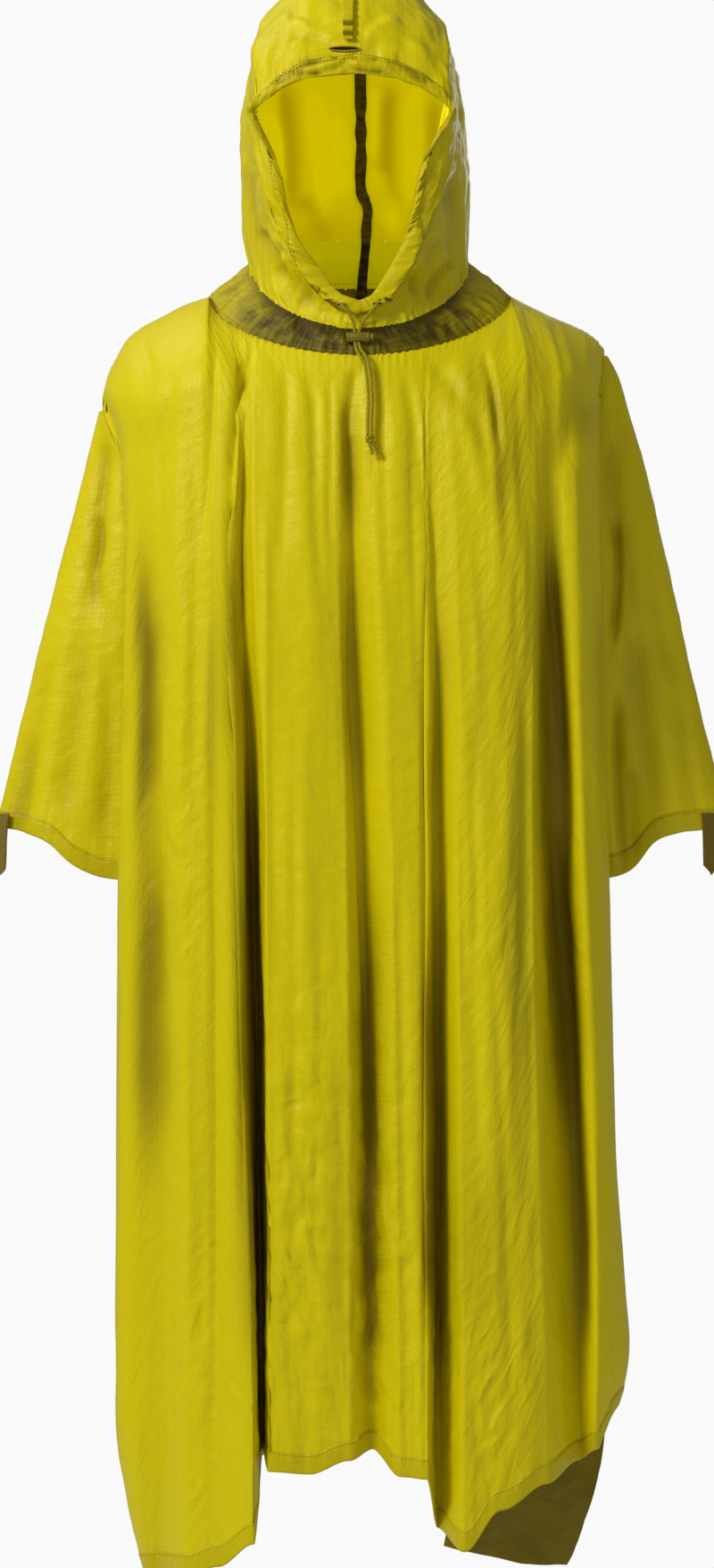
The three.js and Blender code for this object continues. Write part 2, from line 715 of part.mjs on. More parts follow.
// Point of the hood at an angle and at a share of the way from the face edge to the neck seam.
function hoodPoint(turn, share) {
  const toFace = faceEdge(turn).sub(hoodRing(turn, 0));
  const toNeck = neckSeam(turn).sub(hoodRing(turn, 1));
  return hoodRing(turn, share)
    .addScaledVector(toFace, Math.pow(1 - share, 3))
    .addScaledVector(toNeck, Math.pow(share, 3));
}

// Share of the hood's depth that a length of cloth takes at an angle.
function shareOfLength(turn, length) {
  const steps = 24;
  let total = 0;
  for (let i = 0; i < steps; i += 1) {
    total += hoodPoint(turn, i / steps).distanceTo(hoodPoint(turn, (i + 1) / steps));
  }
  return length / total;
}

// Rows of a hood side from the face tunnel to the neck seam.
function hoodRowPoint(turn, row) {
  const from = shareOfLength(turn, FACE_TUNNEL.width + FACE_TUNNEL.seamGap);
  const to = 1 - shareOfLength(turn, NECK.hoodGap);
  return hoodPoint(turn, lerp(from, to, row / HOOD_ROWS));
}

function hoodSide(turns, edge) {
  const half = edge > 0 ? turns.filter((t) => t > -0.01 && t < Math.PI + 0.01) : leftTurns(turns);
  const grid = Array.from({ length: HOOD_ROWS + 1 }, (_, row) =>
    half.map((turn) => {
      const point = hoodRowPoint(turn, row);
      const onSeam = Math.abs(Math.sin(turn)) < 0.01;
      return onSeam ? point.setX(edge * SEAM_GAP * 0.7) : point;
    }),
  );
  return wall(grid, CLOTH_WALL, { flip: -1 });
}

function leftTurns(turns) {
  const back = turns.filter((t) => t > Math.PI - 0.01);
  const front = turns.filter((t) => t < 0.01).map((t) => t + 2 * Math.PI);
  return [...back, ...front];
}

// Doubled band round the face opening, swollen by the cord inside and puckered along it.
function faceTunnel(turns) {
  const { rows } = FACE_TUNNEL;
  const share = (turn, i) => shareOfLength(turn, (FACE_TUNNEL.width * i) / rows);
  const base = Array.from({ length: rows + 1 }, (_, i) =>
    turns.map((turn) => hoodPoint(turn, share(turn, i))),
  );
  const normals = gridNormals(base, true, -1, Infinity);
  const grid = base.map((row, i) =>
    row.map((p, j) => {
      const swell = FACE_TUNNEL.swell * Math.sin((Math.PI * i) / rows) * (j % 2 ? 1 : 0.6);
      return p.clone().addScaledVector(normals[i][j], swell);
    }),
  );
  return wall(grid, FACE_TUNNEL.wall, { closed: true, flip: -1 });
}

// Strip on or under the hood's centre seam, laid on the two sides' own points.
function centreStrip(turns, { from, to, width, steps, x, raise, thickness, pucker }) {
  const centre = turns.indexOf(turns.find((t) => Math.abs(t - Math.PI) < 0.01));
  const right = turns[centre - 1];
  const left = turns[centre + 1];
  const grid = Array.from({ length: steps + 1 }, (_, i) => {
    const row = lerp(from, to, i / steps) * HOOD_ROWS;
    const base = Math.floor(row);
    const on = (turn) =>
      hoodRowPoint(turn, base).lerp(hoodRowPoint(turn, Math.min(base + 1, HOOD_ROWS)), row - base);
    const middle = on(Math.PI);
    const ahead = hoodRowPoint(Math.PI, base + 1).sub(hoodRowPoint(Math.PI, base)).normalize();
    const out = new THREE.Vector3(0, ahead.z, -ahead.y).multiplyScalar(-1);
    return [-width / 2, 0, width / 2].map((offset) => {
      const place = x + offset;
      const towards = on(place < 0 ? left : right);
      const t = Math.abs(place) / Math.abs(towards.x);
      const lift = raise + (i % 2 ? pucker : 0);
      return middle.clone().lerp(towards, t).addScaledVector(out, lift);
    });
  });
  return wall(grid, thickness, { flip: 1 });
}

// The front's right lower corner, turned under along a slant so that its inside shows.
const TURNED_CORNER = {
  rightEdge: [
    { v: 0, x: 232.6 },
    { v: 0.3, x: 229 },
    { v: 0.55, x: 221 },
    { v: 0.8, x: 208 },
    { v: 1, x: 196 },
  ],
  foot: [
    { u: 0, x: 78, z: -1159 },
    { u: 0.25, x: 104, z: -1166 },
    { u: 0.6, x: 150, z: -1181 },
    { u: 1, x: 196, z: -1188 },
  ],
  top: [
    { u: 0, x: 84, z: -1128 },
    { u: 0.3, x: 128, z: -1098 },
    { u: 0.7, x: 178, z: -1070 },
    { u: 1, x: 232.6, z: -1033.6 },
  ],
  behindFront: 40,
  rightDepth: 59,
  wave: 5,
  steps: 8,
};

function turnedCorner() {
  const { rightEdge, behindFront, rightDepth, wave, steps } = TURNED_CORNER;
  const startX = rightEdge[0].x;
  const endX = rightEdge[rightEdge.length - 1].x;
  const grid = Array.from({ length: steps + 1 }, (_, i) =>
    Array.from({ length: steps + 1 }, (_, j) => {
      const v = i / steps;
      const u = j / steps;
      const read = (table, key, column, at) => readTable(TURNED_CORNER[table], key, column, at);
      const bow = (read("rightEdge", "v", "x", v) - lerp(startX, endX, v)) * u;
      const x = lerp(read("top", "u", "x", u), read("foot", "u", "x", u), v) + bow;
      const z = lerp(read("top", "u", "z", u), read("foot", "u", "z", u), v);
      const waved = wave * Math.sin(3 * Math.PI * u) * v;
      const depth = lerp(plainDepth(x, z, -1) - behindFront, rightDepth, u * u) + waved;
      return new THREE.Vector3(x, -depth, z);
    }),
  );
  return wall(grid, CLOTH_WALL, { flip: -1 });
}

// Routes of the two strands: out of its buttonhole, through the lock and down to the knot.
const STRAND_LEFT = [
  [-17.4, -133.2, -8.5],
  [-14.5, -134.6, -12],
  [-9.4, -134.4, -18],
  [-5.9, -133.6, -26],
  [-4.4, -133, -34],
  [-4.3, -133, -44],
  [-2.9, -136.6, -51],
  [0.6, -142, -58],
  [4.9, -146.6, -67],
  [6.2, -148.7, -74],
  [7, -151, -81],
  [7.6, -153.4, -90],
  [8, -156, -99],
  [7.4, -160, -116],
  [7.4, -162.4, -131.6],
];
const STRAND_RIGHT = [
  [16.5, -133.2, -8],
  [13.4, -134.6, -12],
  [8.2, -134.4, -18],
  [2.6, -133.6, -26],
  [-0.7, -133, -34],
  [-0.8, -133, -44],
  [0.7, -136.6, -50],
  [4.6, -142, -56],
  [8.5, -146.6, -66],
  [9.8, -148.7, -73.5],
  [10.6, -151, -81],
  [11.2, -153.4, -90],
  [11.6, -156, -99],
  [11, -160, -116],
  [11, -162.4, -131.6],
];

function strandGeometry(route, steps) {
  const curve = new THREE.CatmullRomCurve3(route.map((p) => new THREE.Vector3(...p)));
  const section = new THREE.Shape();
  for (let i = 0; i < CORD.sides; i += 1) {
    const angle = (2 * Math.PI * i) / CORD.sides;
    const x = (CORD.diameter / 2) * Math.cos(angle);
    const y = (CORD.diameter / 2) * Math.sin(angle);
    if (i === 0) {
      section.moveTo(x, y);
    } else {
      section.lineTo(x, y);
    }
  }
  section.closePath();
  return new THREE.ExtrudeGeometry(section, { steps, bevelEnabled: false, extrudePath: curve });
}

const wasm = await Module();
wasm.setup();

function toSolid(geometry) {
  const plain = geometry.index ? geometry.toNonIndexed() : geometry.clone();
  plain.deleteAttribute("normal");
  plain.deleteAttribute("uv");
  const merged = mergeVertices(plain, 1e-3);
  return new wasm.Manifold(
    new wasm.Mesh({
      numProp: 3,
      vertProperties: merged.attributes.position.array,
      triVerts: new Uint32Array(merged.index.array),
    }),
  );
}

function toGeometry(solid) {
  const mesh = solid.getMesh();
  const geometry = new THREE.BufferGeometry();
  const positions = new THREE.Float32BufferAttribute(mesh.vertProperties, 3);
  geometry.setAttribute("position", positions);
  geometry.setIndex(Array.from(mesh.triVerts));
  return geometry;
}

// Barrel lock lying across the strands, with the slot they run through.
function lockBarrel() {
  const barrel = new THREE.CylinderGeometry(LOCK.diameter / 2, LOCK.diameter / 2, LOCK.length, 20);
  barrel.rotateZ(Math.PI / 2);
  const slot = new THREE.BoxGeometry(LOCK.slotWidth, LOCK.slotDepth, 2 * LOCK.diameter);
  slot.translate(LOCK.strandX - LOCK.x, 0, 0);
  const cut = toSolid(barrel).subtract(toSolid(slot));
  return toGeometry(cut).translate(LOCK.x, LOCK.y, LOCK.z);
}

// The lock's press button, on its own right end.
function lockButton() {
  const radius = LOCK.diameter / 2 - 1.2;
  const button = new THREE.CylinderGeometry(radius, radius, LOCK.buttonLength, 16);
  button.rotateZ(Math.PI / 2);
  const x = LOCK.x + LOCK.length / 2 + LOCK.buttonLength / 2 + SEAM_GAP;
  return button.translate(x, LOCK.y, LOCK.z);
}

// Overhand knot that joins both strands, with their two cut ends below it.
function knotGeometry() {
  const ball = new THREE.SphereGeometry(1, 14, 10);
  ball.scale(KNOT.width / 2, KNOT.width / 2.4, KNOT.height / 2);
  ball.translate(KNOT.x, KNOT.y, KNOT.z);
  const ends = [-1, 1].map((side) => {
    const top = [KNOT.x + side * 1.4, KNOT.y, KNOT.z];
    const foot = [KNOT.x + 5 + side * 2.4, KNOT.y - 1, KNOT.z - KNOT.endLength];
    return toSolid(strandGeometry([top, foot], 3));
  });
  return toGeometry(toSolid(ball).add(ends[0]).add(ends[1]));
}

const frontColumns = panelColumns(FRONT_FOLDS, FRONT_CORNERS);
const backColumns = panelColumns(BACK_FOLDS, BACK_CORNERS);
const turns = neckTurns();

const poncho = new THREE.Group();
poncho.name = "rain_poncho";
poncho.add(makeMesh("front_panel", bodyPanel(frontColumns, -1, PANEL_ROWS), COLOURS.shell));
poncho.add(makeMesh("front_hem", bodyHem(frontColumns, -1), COLOURS.doubled));
poncho.add(makeMesh("front_corner", turnedCorner(), COLOURS.doubled));
poncho.add(makeMesh("back_panel", bodyPanel(backColumns, 1, BACK_ROWS), COLOURS.shell));
poncho.add(makeMesh("back_hem", bodyHem(backColumns, 1), COLOURS.doubled));
for (const edge of [-1, 1]) {
  const name = sideName(edge);
  const frontFoot = FRONT_CORNERS[name];
  const backFoot = BACK_CORNERS[name];
  poncho.add(makeMesh(`front_side_hem_${name}`, sideHem(edge, -1, frontFoot), COLOURS.doubled));
  poncho.add(makeMesh(`back_side_hem_${name}`, sideHem(edge, 1, backFoot), COLOURS.doubled));
  poncho.add(makeMesh(`arm_cloth_${name}`, armCloth(edge), COLOURS.shell));
  poncho.add(makeMesh(`arm_hem_${name}`, armHem(edge), COLOURS.doubled));
  poncho.add(makeMesh(`hood_${name}`, hoodSide(turns, edge), COLOURS.shell));
}
poncho.add(makeMesh("arm_tab_left", armTab(-1, -TAB.leftPlace, TAB.leftClear, false), COLOURS.tab, 0.8));
poncho.add(makeMesh("arm_tab_right", armTab(1, -TAB.rightPlace, TAB.rightClear, true), COLOURS.tab, 0.8));
poncho.add(makeMesh("yoke", yokeGeometry(turns), COLOURS.doubled));
poncho.add(makeMesh("face_tunnel", faceTunnel(turns), COLOURS.doubled));
poncho.add(makeMesh("crown_tunnel", centreStrip(turns, CROWN_TUNNEL), COLOURS.doubled));
poncho.add(makeMesh("seam_tape", centreStrip(turns, SEAM_TAPE), COLOURS.tape));
poncho.add(makeMesh("drawcord_left", strandGeometry(STRAND_LEFT, CORD.steps), COLOURS.cord, 0.9));
poncho.add(makeMesh("drawcord_right", strandGeometry(STRAND_RIGHT, CORD.steps), COLOURS.cord, 0.9));
poncho.add(makeMesh("cord_lock", lockBarrel(), COLOURS.lock, 0.4));
poncho.add(makeMesh("cord_lock_button", lockButton(), COLOURS.lock, 0.4));
poncho.add(makeMesh("cord_knot", knotGeometry(), COLOURS.cord, 0.9));

export default poncho;
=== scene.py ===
import math

import bpy
import mathutils
import numpy as np
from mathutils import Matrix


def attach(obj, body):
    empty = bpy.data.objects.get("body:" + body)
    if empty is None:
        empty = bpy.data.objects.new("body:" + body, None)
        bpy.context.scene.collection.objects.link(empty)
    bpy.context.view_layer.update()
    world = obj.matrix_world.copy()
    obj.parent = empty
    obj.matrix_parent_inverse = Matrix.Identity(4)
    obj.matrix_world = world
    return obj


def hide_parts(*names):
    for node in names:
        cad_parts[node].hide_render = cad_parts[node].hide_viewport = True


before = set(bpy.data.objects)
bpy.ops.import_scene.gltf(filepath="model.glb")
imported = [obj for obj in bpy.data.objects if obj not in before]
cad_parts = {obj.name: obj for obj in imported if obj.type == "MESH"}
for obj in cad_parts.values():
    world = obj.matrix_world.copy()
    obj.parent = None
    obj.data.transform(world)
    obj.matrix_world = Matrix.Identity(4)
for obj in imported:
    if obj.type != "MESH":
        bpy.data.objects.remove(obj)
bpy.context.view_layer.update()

# The camera looks level at the chest from five metres in front. Its frame is 800 by 1756
# pixels and holds the garment from just under the hood's top down to the hem.
IMAGE_HEIGHT = 1756
METRES_PER_PIXEL = 0.00085
CAMERA_DISTANCE = 5.0
CAMERA_X = -0.0025
CAMERA_Z = -0.453

camera_data = bpy.data.cameras.new("camera")
camera_data.sensor_width = 36
camera_data.lens = camera_data.sensor_width * CAMERA_DISTANCE / (IMAGE_HEIGHT * METRES_PER_PIXEL)
camera = bpy.data.objects.new("camera", camera_data)
camera.location = (CAMERA_X, -CAMERA_DISTANCE, CAMERA_Z)
camera.rotation_euler = (math.pi / 2, 0, 0)
bpy.context.scene.collection.objects.link(camera)
bpy.context.scene.camera = camera


# The drawcord is a thin braided cord. Its two strands come out of a buttonhole on each side of
# the chin, run through a barrel lock and end in one overhand knot with two cut ends.
MM = 0.001


def hermite(p, q, slope_p, slope_q, t):
    """Cubic from p to q with the given slopes at its ends, while t runs from 0 to 1."""
    square, cube = t * t, t * t * t
    ends = (2 * cube - 3 * square + 1) * p + (3 * square - 2 * cube) * q
    return ends + (cube - 2 * square + t) * slope_p + (cube - square) * slope_q


def through(keys, values, at):
    """Smooth line through the rows of values, which may be numbers or points: between two keys
    it is a cubic with the mean slope at each of them, and past the last key it stays level."""
    keys, values = np.asarray(keys, float), np.asarray(values, float)
    if keys[0] > keys[-1]:
        keys, values = keys[::-1], values[::-1]
    slopes = np.gradient(values, keys, axis=0)
    at = np.clip(at, keys[0], keys[-1])
    i = np.clip(np.searchsorted(keys, at) - 1, 0, len(keys) - 2)
    span = keys[i + 1] - keys[i]
    t = (at - keys[i]) / span
    if values.ndim > 1:
        span, t = span[..., None], t[..., None]
    return hermite(values[i], values[i + 1], slopes[i] * span, slopes[i + 1] * span, t)


def lengths(points):
    """Running length of a line of points, from 0 at its first one."""
    steps = np.linalg.norm(np.diff(points, axis=0), axis=-1)
    return np.concatenate([np.zeros_like(steps[:1]), np.cumsum(steps, axis=0)])


def unit(vectors):
    """Vectors scaled to a length of one."""
    return vectors / np.maximum(np.linalg.norm(vectors, axis=-1, keepdims=True), 1e-12)


def grid_piece(name, points, cloth, finish, closed=False, flip=False, **layers):
    """Object made of a grid of points in millimetres, one quad to a cell. The cells of a closed
    grid join its last column to its first. `cloth` is each point's place on the flat cloth in
    metres, with one more column where the grid is closed, and each layer is a number a point."""
    rows, cols = points.shape[:2]
    spans = cols if closed else cols - 1
    i, j = np.meshgrid(np.arange(rows - 1), np.arange(spans), indexing="ij")
    corners = [(i, j), (i + 1, j), (i + 1, j + 1), (i, j + 1)]
    if flip:
        corners.reverse()
    faces = np.stack([(a * cols + b % cols).ravel() for a, b in corners], axis=1)
    places = np.stack([cloth[a, b].reshape(-1, 2) for a, b in corners], axis=1)
    mesh = bpy.data.meshes.new(name)
    mesh.vertices.add(rows * cols)
    mesh.vertices.foreach_set("co", (points.reshape(-1) * MM).astype(np.float32))
    mesh.loops.add(faces.size)
    mesh.loops.foreach_set("vertex_index", faces.ravel().astype(np.int32))
    mesh.polygons.add(len(faces))
    mesh.polygons.foreach_set("loop_start", np.arange(0, faces.size, 4, dtype=np.int32))
    mesh.polygons.foreach_set("use_smooth", np.ones(len(faces), dtype=bool))
    mesh.uv_layers.new(name="cloth")
    mesh.uv_layers["cloth"].uv.foreach_set("vector", places.astype(np.float32).ravel())
    for layer, values in layers.items():
        attribute = mesh.attributes.new(layer, "FLOAT", "POINT")
        attribute.data.foreach_set("value", values.astype(np.float32).ravel())
    mesh.update(calc_edges=True)
    mesh.validate()
    piece = bpy.data.objects.new(name, mesh)
    bpy.context.scene.collection.objects.link(piece)
    piece.data.materials.append(finish.material)
    return piece


class Amount:
    """A shader socket that takes part in sums: each operator adds one Math node behind it."""

    def __init__(self, finish, socket):
        self.finish = finish
        self.socket = socket

    def maths(self, operation, *values):
        return self.finish.node("ShaderNodeMath", {"operation": operation}, dict(enumerate(values)))

    def __add__(self, other):
        return self.maths("ADD", self, other)

    def __radd__(self, other):
        return self.maths("ADD", other, self)

    def __sub__(self, other):
        return self.maths("SUBTRACT", self, other)

    def __rsub__(self, other):
        return self.maths("SUBTRACT", other, self)

    def __mul__(self, other):
        return self.maths("MULTIPLY", self, other)

    def __rmul__(self, other):
        return self.maths("MULTIPLY", other, self)

    def between(self, low, high):
        """0 below low, 1 above high, smooth from the one to the other."""
        ends = {"Value": self, "From Min": low, "From Max": high}
        return self.finish.node("ShaderNodeMapRange", {"interpolation_type": "SMOOTHSTEP"}, ends)


class Finish:
    """A material on one Principled shader, whose plain numbers are given when it is made."""

    def __init__(self, name, **constants):
        self.material = bpy.data.materials.new(name)
        self.material.use_nodes = True
        self.tree = self.material.node_tree
        self.shader = self.tree.nodes["Principled BSDF"]
        for socket, value in constants.items():
            self.shader.inputs[socket.replace("_", " ")].default_value = value

    def node(self, kind, settings=None, sockets=None, out=0):
        """Adds a node: its settings first, then a value or a link for each socket named."""
        made = self.tree.nodes.new(kind)
        for setting, value in (settings or {}).items():
            setattr(made, setting, value)
        for socket, value in (sockets or {}).items():
            if isinstance(value, Amount):
                self.tree.links.new(value.socket, made.inputs[socket])
            else:
                made.inputs[socket].default_value = value
        return Amount(self, made.outputs[out])

    def feed(self, **links):
        """Links values that change over the surface to the shader's own sockets."""
        for socket, value in links.items():
            self.tree.links.new(value.socket, self.shader.inputs[socket.replace("_", " ")])

    def colour_mix(self, share, first, second):
        """Colour between two colours."""
        return self.node("ShaderNodeMix", {"data_type": "RGBA"}, {0: share, 6: first, 7: second}, 2)

    def bump(self, height, distance, under=None):
        """Normal of a height in the given number of metres, laid over another bump's normal."""
        sockets = {"Height": height, "Distance": distance, "Strength": 1.0}
        if under:
            sockets["Normal"] = under
        return self.node("ShaderNodeBump", None, sockets)


def rgb(red, green, blue):
    """Linear colour of a colour given as 0 to 255 on a screen."""
    screen = np.array([red, green, blue]) / 255
    linear = np.where(screen < 0.04045, screen / 12.92, ((screen + 0.055) / 1.055) ** 2.4)
    return (*linear.tolist(), 1.0)


CORD_DIAMETER = 3
CORD_SIDES = 20
CORD_RINGS_PER_MM = 2.4
BRAID_TURN = 5.5
BRAID_YARNS = 4
BRAID_RELIEF = 0.12
STRANDS = {
    "left": [
        (-17.4, -133.2, -8.5), (-14.5, -134.6, -12), (-9.4, -134.4, -18), (-5.9, -133.6, -26),
        (-4.4, -133, -34), (-4.3, -133, -44), (-2.9, -136.6, -51), (0.6, -142, -58),
        (4.9, -146.6, -67), (6.2, -148.7, -74), (7, -151, -81), (7.6, -153.4, -90),
        (8, -156, -99), (7.4, -160, -116), (7.4, -162.4, -131.6),
    ],
    "right": [
        (16.5, -133.2, -8), (13.4, -134.6, -12), (8.2, -134.4, -18), (2.6, -133.6, -26),
        (-0.7, -133, -34), (-0.8, -133, -44), (0.7, -136.6, -50), (4.6, -142, -56),
        (8.5, -146.6, -66), (9.8, -148.7, -73.5), (10.6, -151, -81), (11.2, -153.4, -90),
        (11.6, -156, -99), (11, -160, -116), (11, -162.4, -131.6),
    ],
}
KNOT = {"x": 9.2, "y": -162.6, "z": -135.5, "width": 8.5, "height": 7, "end": 14, "spread": 2.4}


def cord_tube(path, diameter):
    """Tube round a path: a ring at each point, square to the path, whose radius rises and falls
    with two families of yarns that wind round it in opposite ways and cross each other."""
    along = lengths(path)
    ahead = unit(np.gradient(path, axis=0))
    side = unit(np.cross(ahead, (0, 1, 0)))
    up = np.cross(side, ahead)
    turn = np.linspace(0, 2 * np.pi, CORD_SIDES, endpoint=False)[None, :]
    wind = 2 * np.pi * along[:, None] / BRAID_TURN
    left = np.cos(BRAID_YARNS * turn + wind)
    right = np.cos(BRAID_YARNS * turn - wind)
    radius = diameter / 2 + BRAID_RELIEF * (np.maximum(left, right) - 0.5)
    ring = side[:, None] * np.cos(turn)[..., None] + up[:, None] * np.sin(turn)[..., None]
    points = path[:, None] + ring * radius[..., None]
    u = np.linspace(0, np.pi * diameter, CORD_SIDES + 1)[None, :] + 0 * along[:, None]
    cloth = np.stack([u, along[:, None] + 0 * u], axis=-1) * MM
    return points, cloth, np.maximum(left, right)


def braided_cord():
    """Braided polyester, dull and slightly hairy: yarn crowns painted lighter as highlight, grooves
    darker as shade.
    """
    finish = Finish("braided_cord", Roughness=0.78, Specular_IOR_Level=0.3)
    crown = finish.node("ShaderNodeAttribute", {"attribute_name": "yarn"}, None, 2)
    fibre = finish.node("ShaderNodeTexNoise", None, {"Scale": 2400.0, "Detail": 2.0})
    # Painted highlight on the yarns' crowns and painted shade between them, with random fibre tone.
    shade = (crown * 0.5 + fibre * 0.4).between(-0.1, 0.6)
    colour = finish.colour_mix(shade, rgb(86, 72, 8), rgb(176, 158, 18))
    finish.feed(Base_Color=colour, Normal=finish.bump(fibre, 0.0001))
    return finish


CORD_FINISH = braided_cord()
strands = {}
strand_paths = {}
for word, route in STRANDS.items():
    route = np.array(route, float)
    marks = lengths(route)
    count = int(marks[-1] * CORD_RINGS_PER_MM)
    path = through(marks, route, np.linspace(0, marks[-1], count))
    points, cloth, yarn = cord_tube(path, CORD_DIAMETER)
    strands[word] = grid_piece(f"strand_{word}", points, cloth, CORD_FINISH, closed=True, yarn=yarn)
    strand_paths[word] = path

# The knot is an overhand knot tied with both strands together; under it their ends are cut off
# and melted. It is wound here as a fat turn of two strands with the ends hanging out of it.
KNOT_TURNS = 2.0
KNOT_POINTS = 260
END_POINTS = 40


def knot_path(centre, width, height):
    """Closed winding: it circles the knot's middle while it rises and falls once each turn."""
    turn = np.linspace(0, 2 * np.pi * KNOT_TURNS, KNOT_POINTS)
    reach = 0.27 * width * (1 + 0.25 * np.cos(1.5 * turn))
    x = centre[0] + reach * np.cos(turn)
    y = centre[1] + 0.8 * reach * np.sin(turn)
    z = centre[2] + 0.3 * height * np.sin(1.5 * turn + 0.6)
    return np.stack([x, y, z], axis=1)


def cord_end(side):
    """One cut end: it leaves the knot's foot, leans to the right and spreads from the other."""
    share = np.linspace(0, 1, END_POINTS)
    x = KNOT["x"] + side * 1.4 + share * (5 + side * (KNOT["spread"] - 1.4))
    y = KNOT["y"] - share
    z = KNOT["z"] - share * KNOT["end"]
    return np.stack([x, y, z], axis=1)


knot_centre = (KNOT["x"], KNOT["y"], KNOT["z"])
knot_runs = [knot_path(knot_centre, KNOT["width"], KNOT["height"]), cord_end(-1), cord_end(1)]
knot_pieces = []
for number, run in enumerate(knot_runs):
    points, cloth, yarn = cord_tube(run, CORD_DIAMETER)
    middle = run[[0, -1]][:, None] + 0 * points[:2]
    points = np.concatenate([middle[:1], points, middle[1:]])
    cloth = np.concatenate([cloth[:1], cloth, cloth[-1:]])
    yarn = np.concatenate([yarn[:1], yarn, yarn[-1:]])
    part = grid_piece(f"knot_run_{number}", points, cloth, CORD_FINISH, closed=True, yarn=yarn)
    knot_pieces.append(part)


def join(pieces, name):
    """One object made of several, named after what they make together."""
    with bpy.context.temp_override(active_object=pieces[0], selected_editable_objects=pieces):
        bpy.ops.object.join()
    pieces[0].name = name
    pieces[0].data.name = name
    return pieces[0]


knot = join(knot_pieces, "knot")
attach(knot, "root")
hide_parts("cord_knot")

# The lock is a moulded barrel that lies across both strands, with a spring inside and a press
# button in its right end. Its slot shows above and below, where the strands go through.
LOCK = {"x": -1.5, "y": -132.6, "z": -39, "length": 22, "diameter": 9.6, "button": 3.6}
LOCK_SLOT = {"x": -2.55, "width": 7.8, "depth": 5}
LOCK_SIDES = 48
BARREL = {
    "along": [0, 0, 0.02, 0.05, 0.1, 0.13, 0.16, 0.2, 0.5, 0.8, 0.84, 0.87, 0.9, 0.95, 0.98, 1, 1],
    "radius": [0, 0.8, 0.92, 0.99, 1, 0.93, 0.93, 1, 1, 1, 0.93, 0.93, 1, 0.99, 0.92, 0.8, 0],
}
BUTTON = {
    "along": [0, 0, 0.6, 0.8, 0.92, 1, 1],
    "radius": [0, 0.75, 0.75, 0.72, 0.64, 0.5, 0],
}


def turned_piece(name, profile, start, length, radius, finish):
    """A profile of radius along the X axis, carried once round that axis."""
    turn = np.linspace(0, 2 * np.pi, LOCK_SIDES, endpoint=False)[None, :]
    along = np.array(profile["along"])[:, None]
    reach = np.maximum(np.array(profile["radius"])[:, None], 1e-4) * radius
    x = start + along * length + 0 * turn
    points = np.stack([x, LOCK["y"] + reach * np.cos(turn), LOCK["z"] + reach * np.sin(turn)], -1)
    u = np.linspace(0, 2 * np.pi * radius, LOCK_SIDES + 1)[None, :] + 0 * along
    cloth = np.stack([u, along * length + 0 * u], axis=-1) * MM
    return grid_piece(name, points, cloth, finish, closed=True, flip=True)


def moulded_plastic():
    """Moulded plastic: nearly plain, with a fine grain and uneven patches rubbed a little lighter."""
    finish = Finish("moulded_plastic", Specular_IOR_Level=0.45)
    grain = finish.node("ShaderNodeTexNoise", None, {"Scale": 900.0, "Detail": 3.0})
    worn = finish.node("ShaderNodeTexNoise", None, {"Scale": 260.0, "Detail": 4.0}).between(0.5, 0.8)
    finish.feed(
        Base_Color=finish.colour_mix(worn, rgb(118, 104, 10), rgb(160, 146, 30)),
        Roughness=0.36 + worn * 0.2,
        Normal=finish.bump(grain, 0.00005),
    )
    return finish


PLASTIC = moulded_plastic()
barrel_start = LOCK["x"] - LOCK["length"] / 2
barrel = turned_piece("lock_barrel", BARREL, barrel_start, LOCK["length"], LOCK["diameter"] / 2, PLASTIC)
button_start = LOCK["x"] + LOCK["length"] / 2 + 0.3
button = turned_piece("lock_button", BUTTON, button_start, LOCK["button"], LOCK["diameter"] / 2, PLASTIC)

# The slot is cut with a box that is as wide as both strands and goes right through.
bpy.ops.mesh.primitive_cube_add(size=1)
cutter = bpy.context.object
cutter.scale = (LOCK_SLOT["width"] * MM, LOCK_SLOT["depth"] * MM, 2 * LOCK["diameter"] * MM)
cutter.location = (LOCK_SLOT["x"] * MM, LOCK["y"] * MM, LOCK["z"] * MM)
slot_cut = barrel.modifiers.new("slot", "BOOLEAN")
slot_cut.operation = "DIFFERENCE"
slot_cut.object = cutter
with bpy.context.temp_override(object=barrel, active_object=barrel):
    bpy.ops.object.modifier_apply(modifier="slot")
bpy.data.objects.remove(cutter)
for piece, node in ((barrel, "cord_lock"), (button, "cord_lock_button")):
    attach(piece, "root")
    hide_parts(node)

for word, piece in strands.items():
    path = strand_paths[word] * MM
    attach(piece, "root")
    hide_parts(f"drawcord_{word}")

# The front is one length of coated ripstop nylon. It is gathered into the yoke, hangs over the
# shoulders and falls in long folds; its sides turn in behind the arms and run on to the hem.
SIDES = {-1: "left", 1: "right"}
YOKE = {"half": 143, "front": 130, "back": 100, "front_z": -55, "side_z": 10, "back_z": 28}
SHOULDER = {
    -1: {
        "x": [143, 167, 188, 210, 223, 231, 239, 244],
        "z": [10, 2, -9, -21, -33, -48, -65, -84],
        "gap": [1, 1, 1, 1, 2, 6, 10, 14],
    },
    1: {
        "x": [143, 166, 188, 205, 218, 226, 232],
        "z": [11, -1, -11, -18, -25, -32, -40],
        "gap": [1, 1, 1, 1, 4, 9, 14],
    },
}
SIDE_FOLD = {
    "z": [-40, -84, -110, -128, -170, -450, -790, -930, -985, -1061, -1120, -1190],
    -1: [246, 244, 233, 227, 223, 225, 229, 229, 229, 228, 218, 201],
    1: [231, 226, 225, 225, 226, 233, 241, 248, 251, 235, 218, 205],
}
DEPTH = {
    "z": [0, -100, -200, -450, -800, -1190],
    -1: [128, 150, 160, 162, 168, 176],
    1: [105, 128, 138, 140, 146, 154],
    "edge": [20, 46, 66, 74, 78, 84],
}
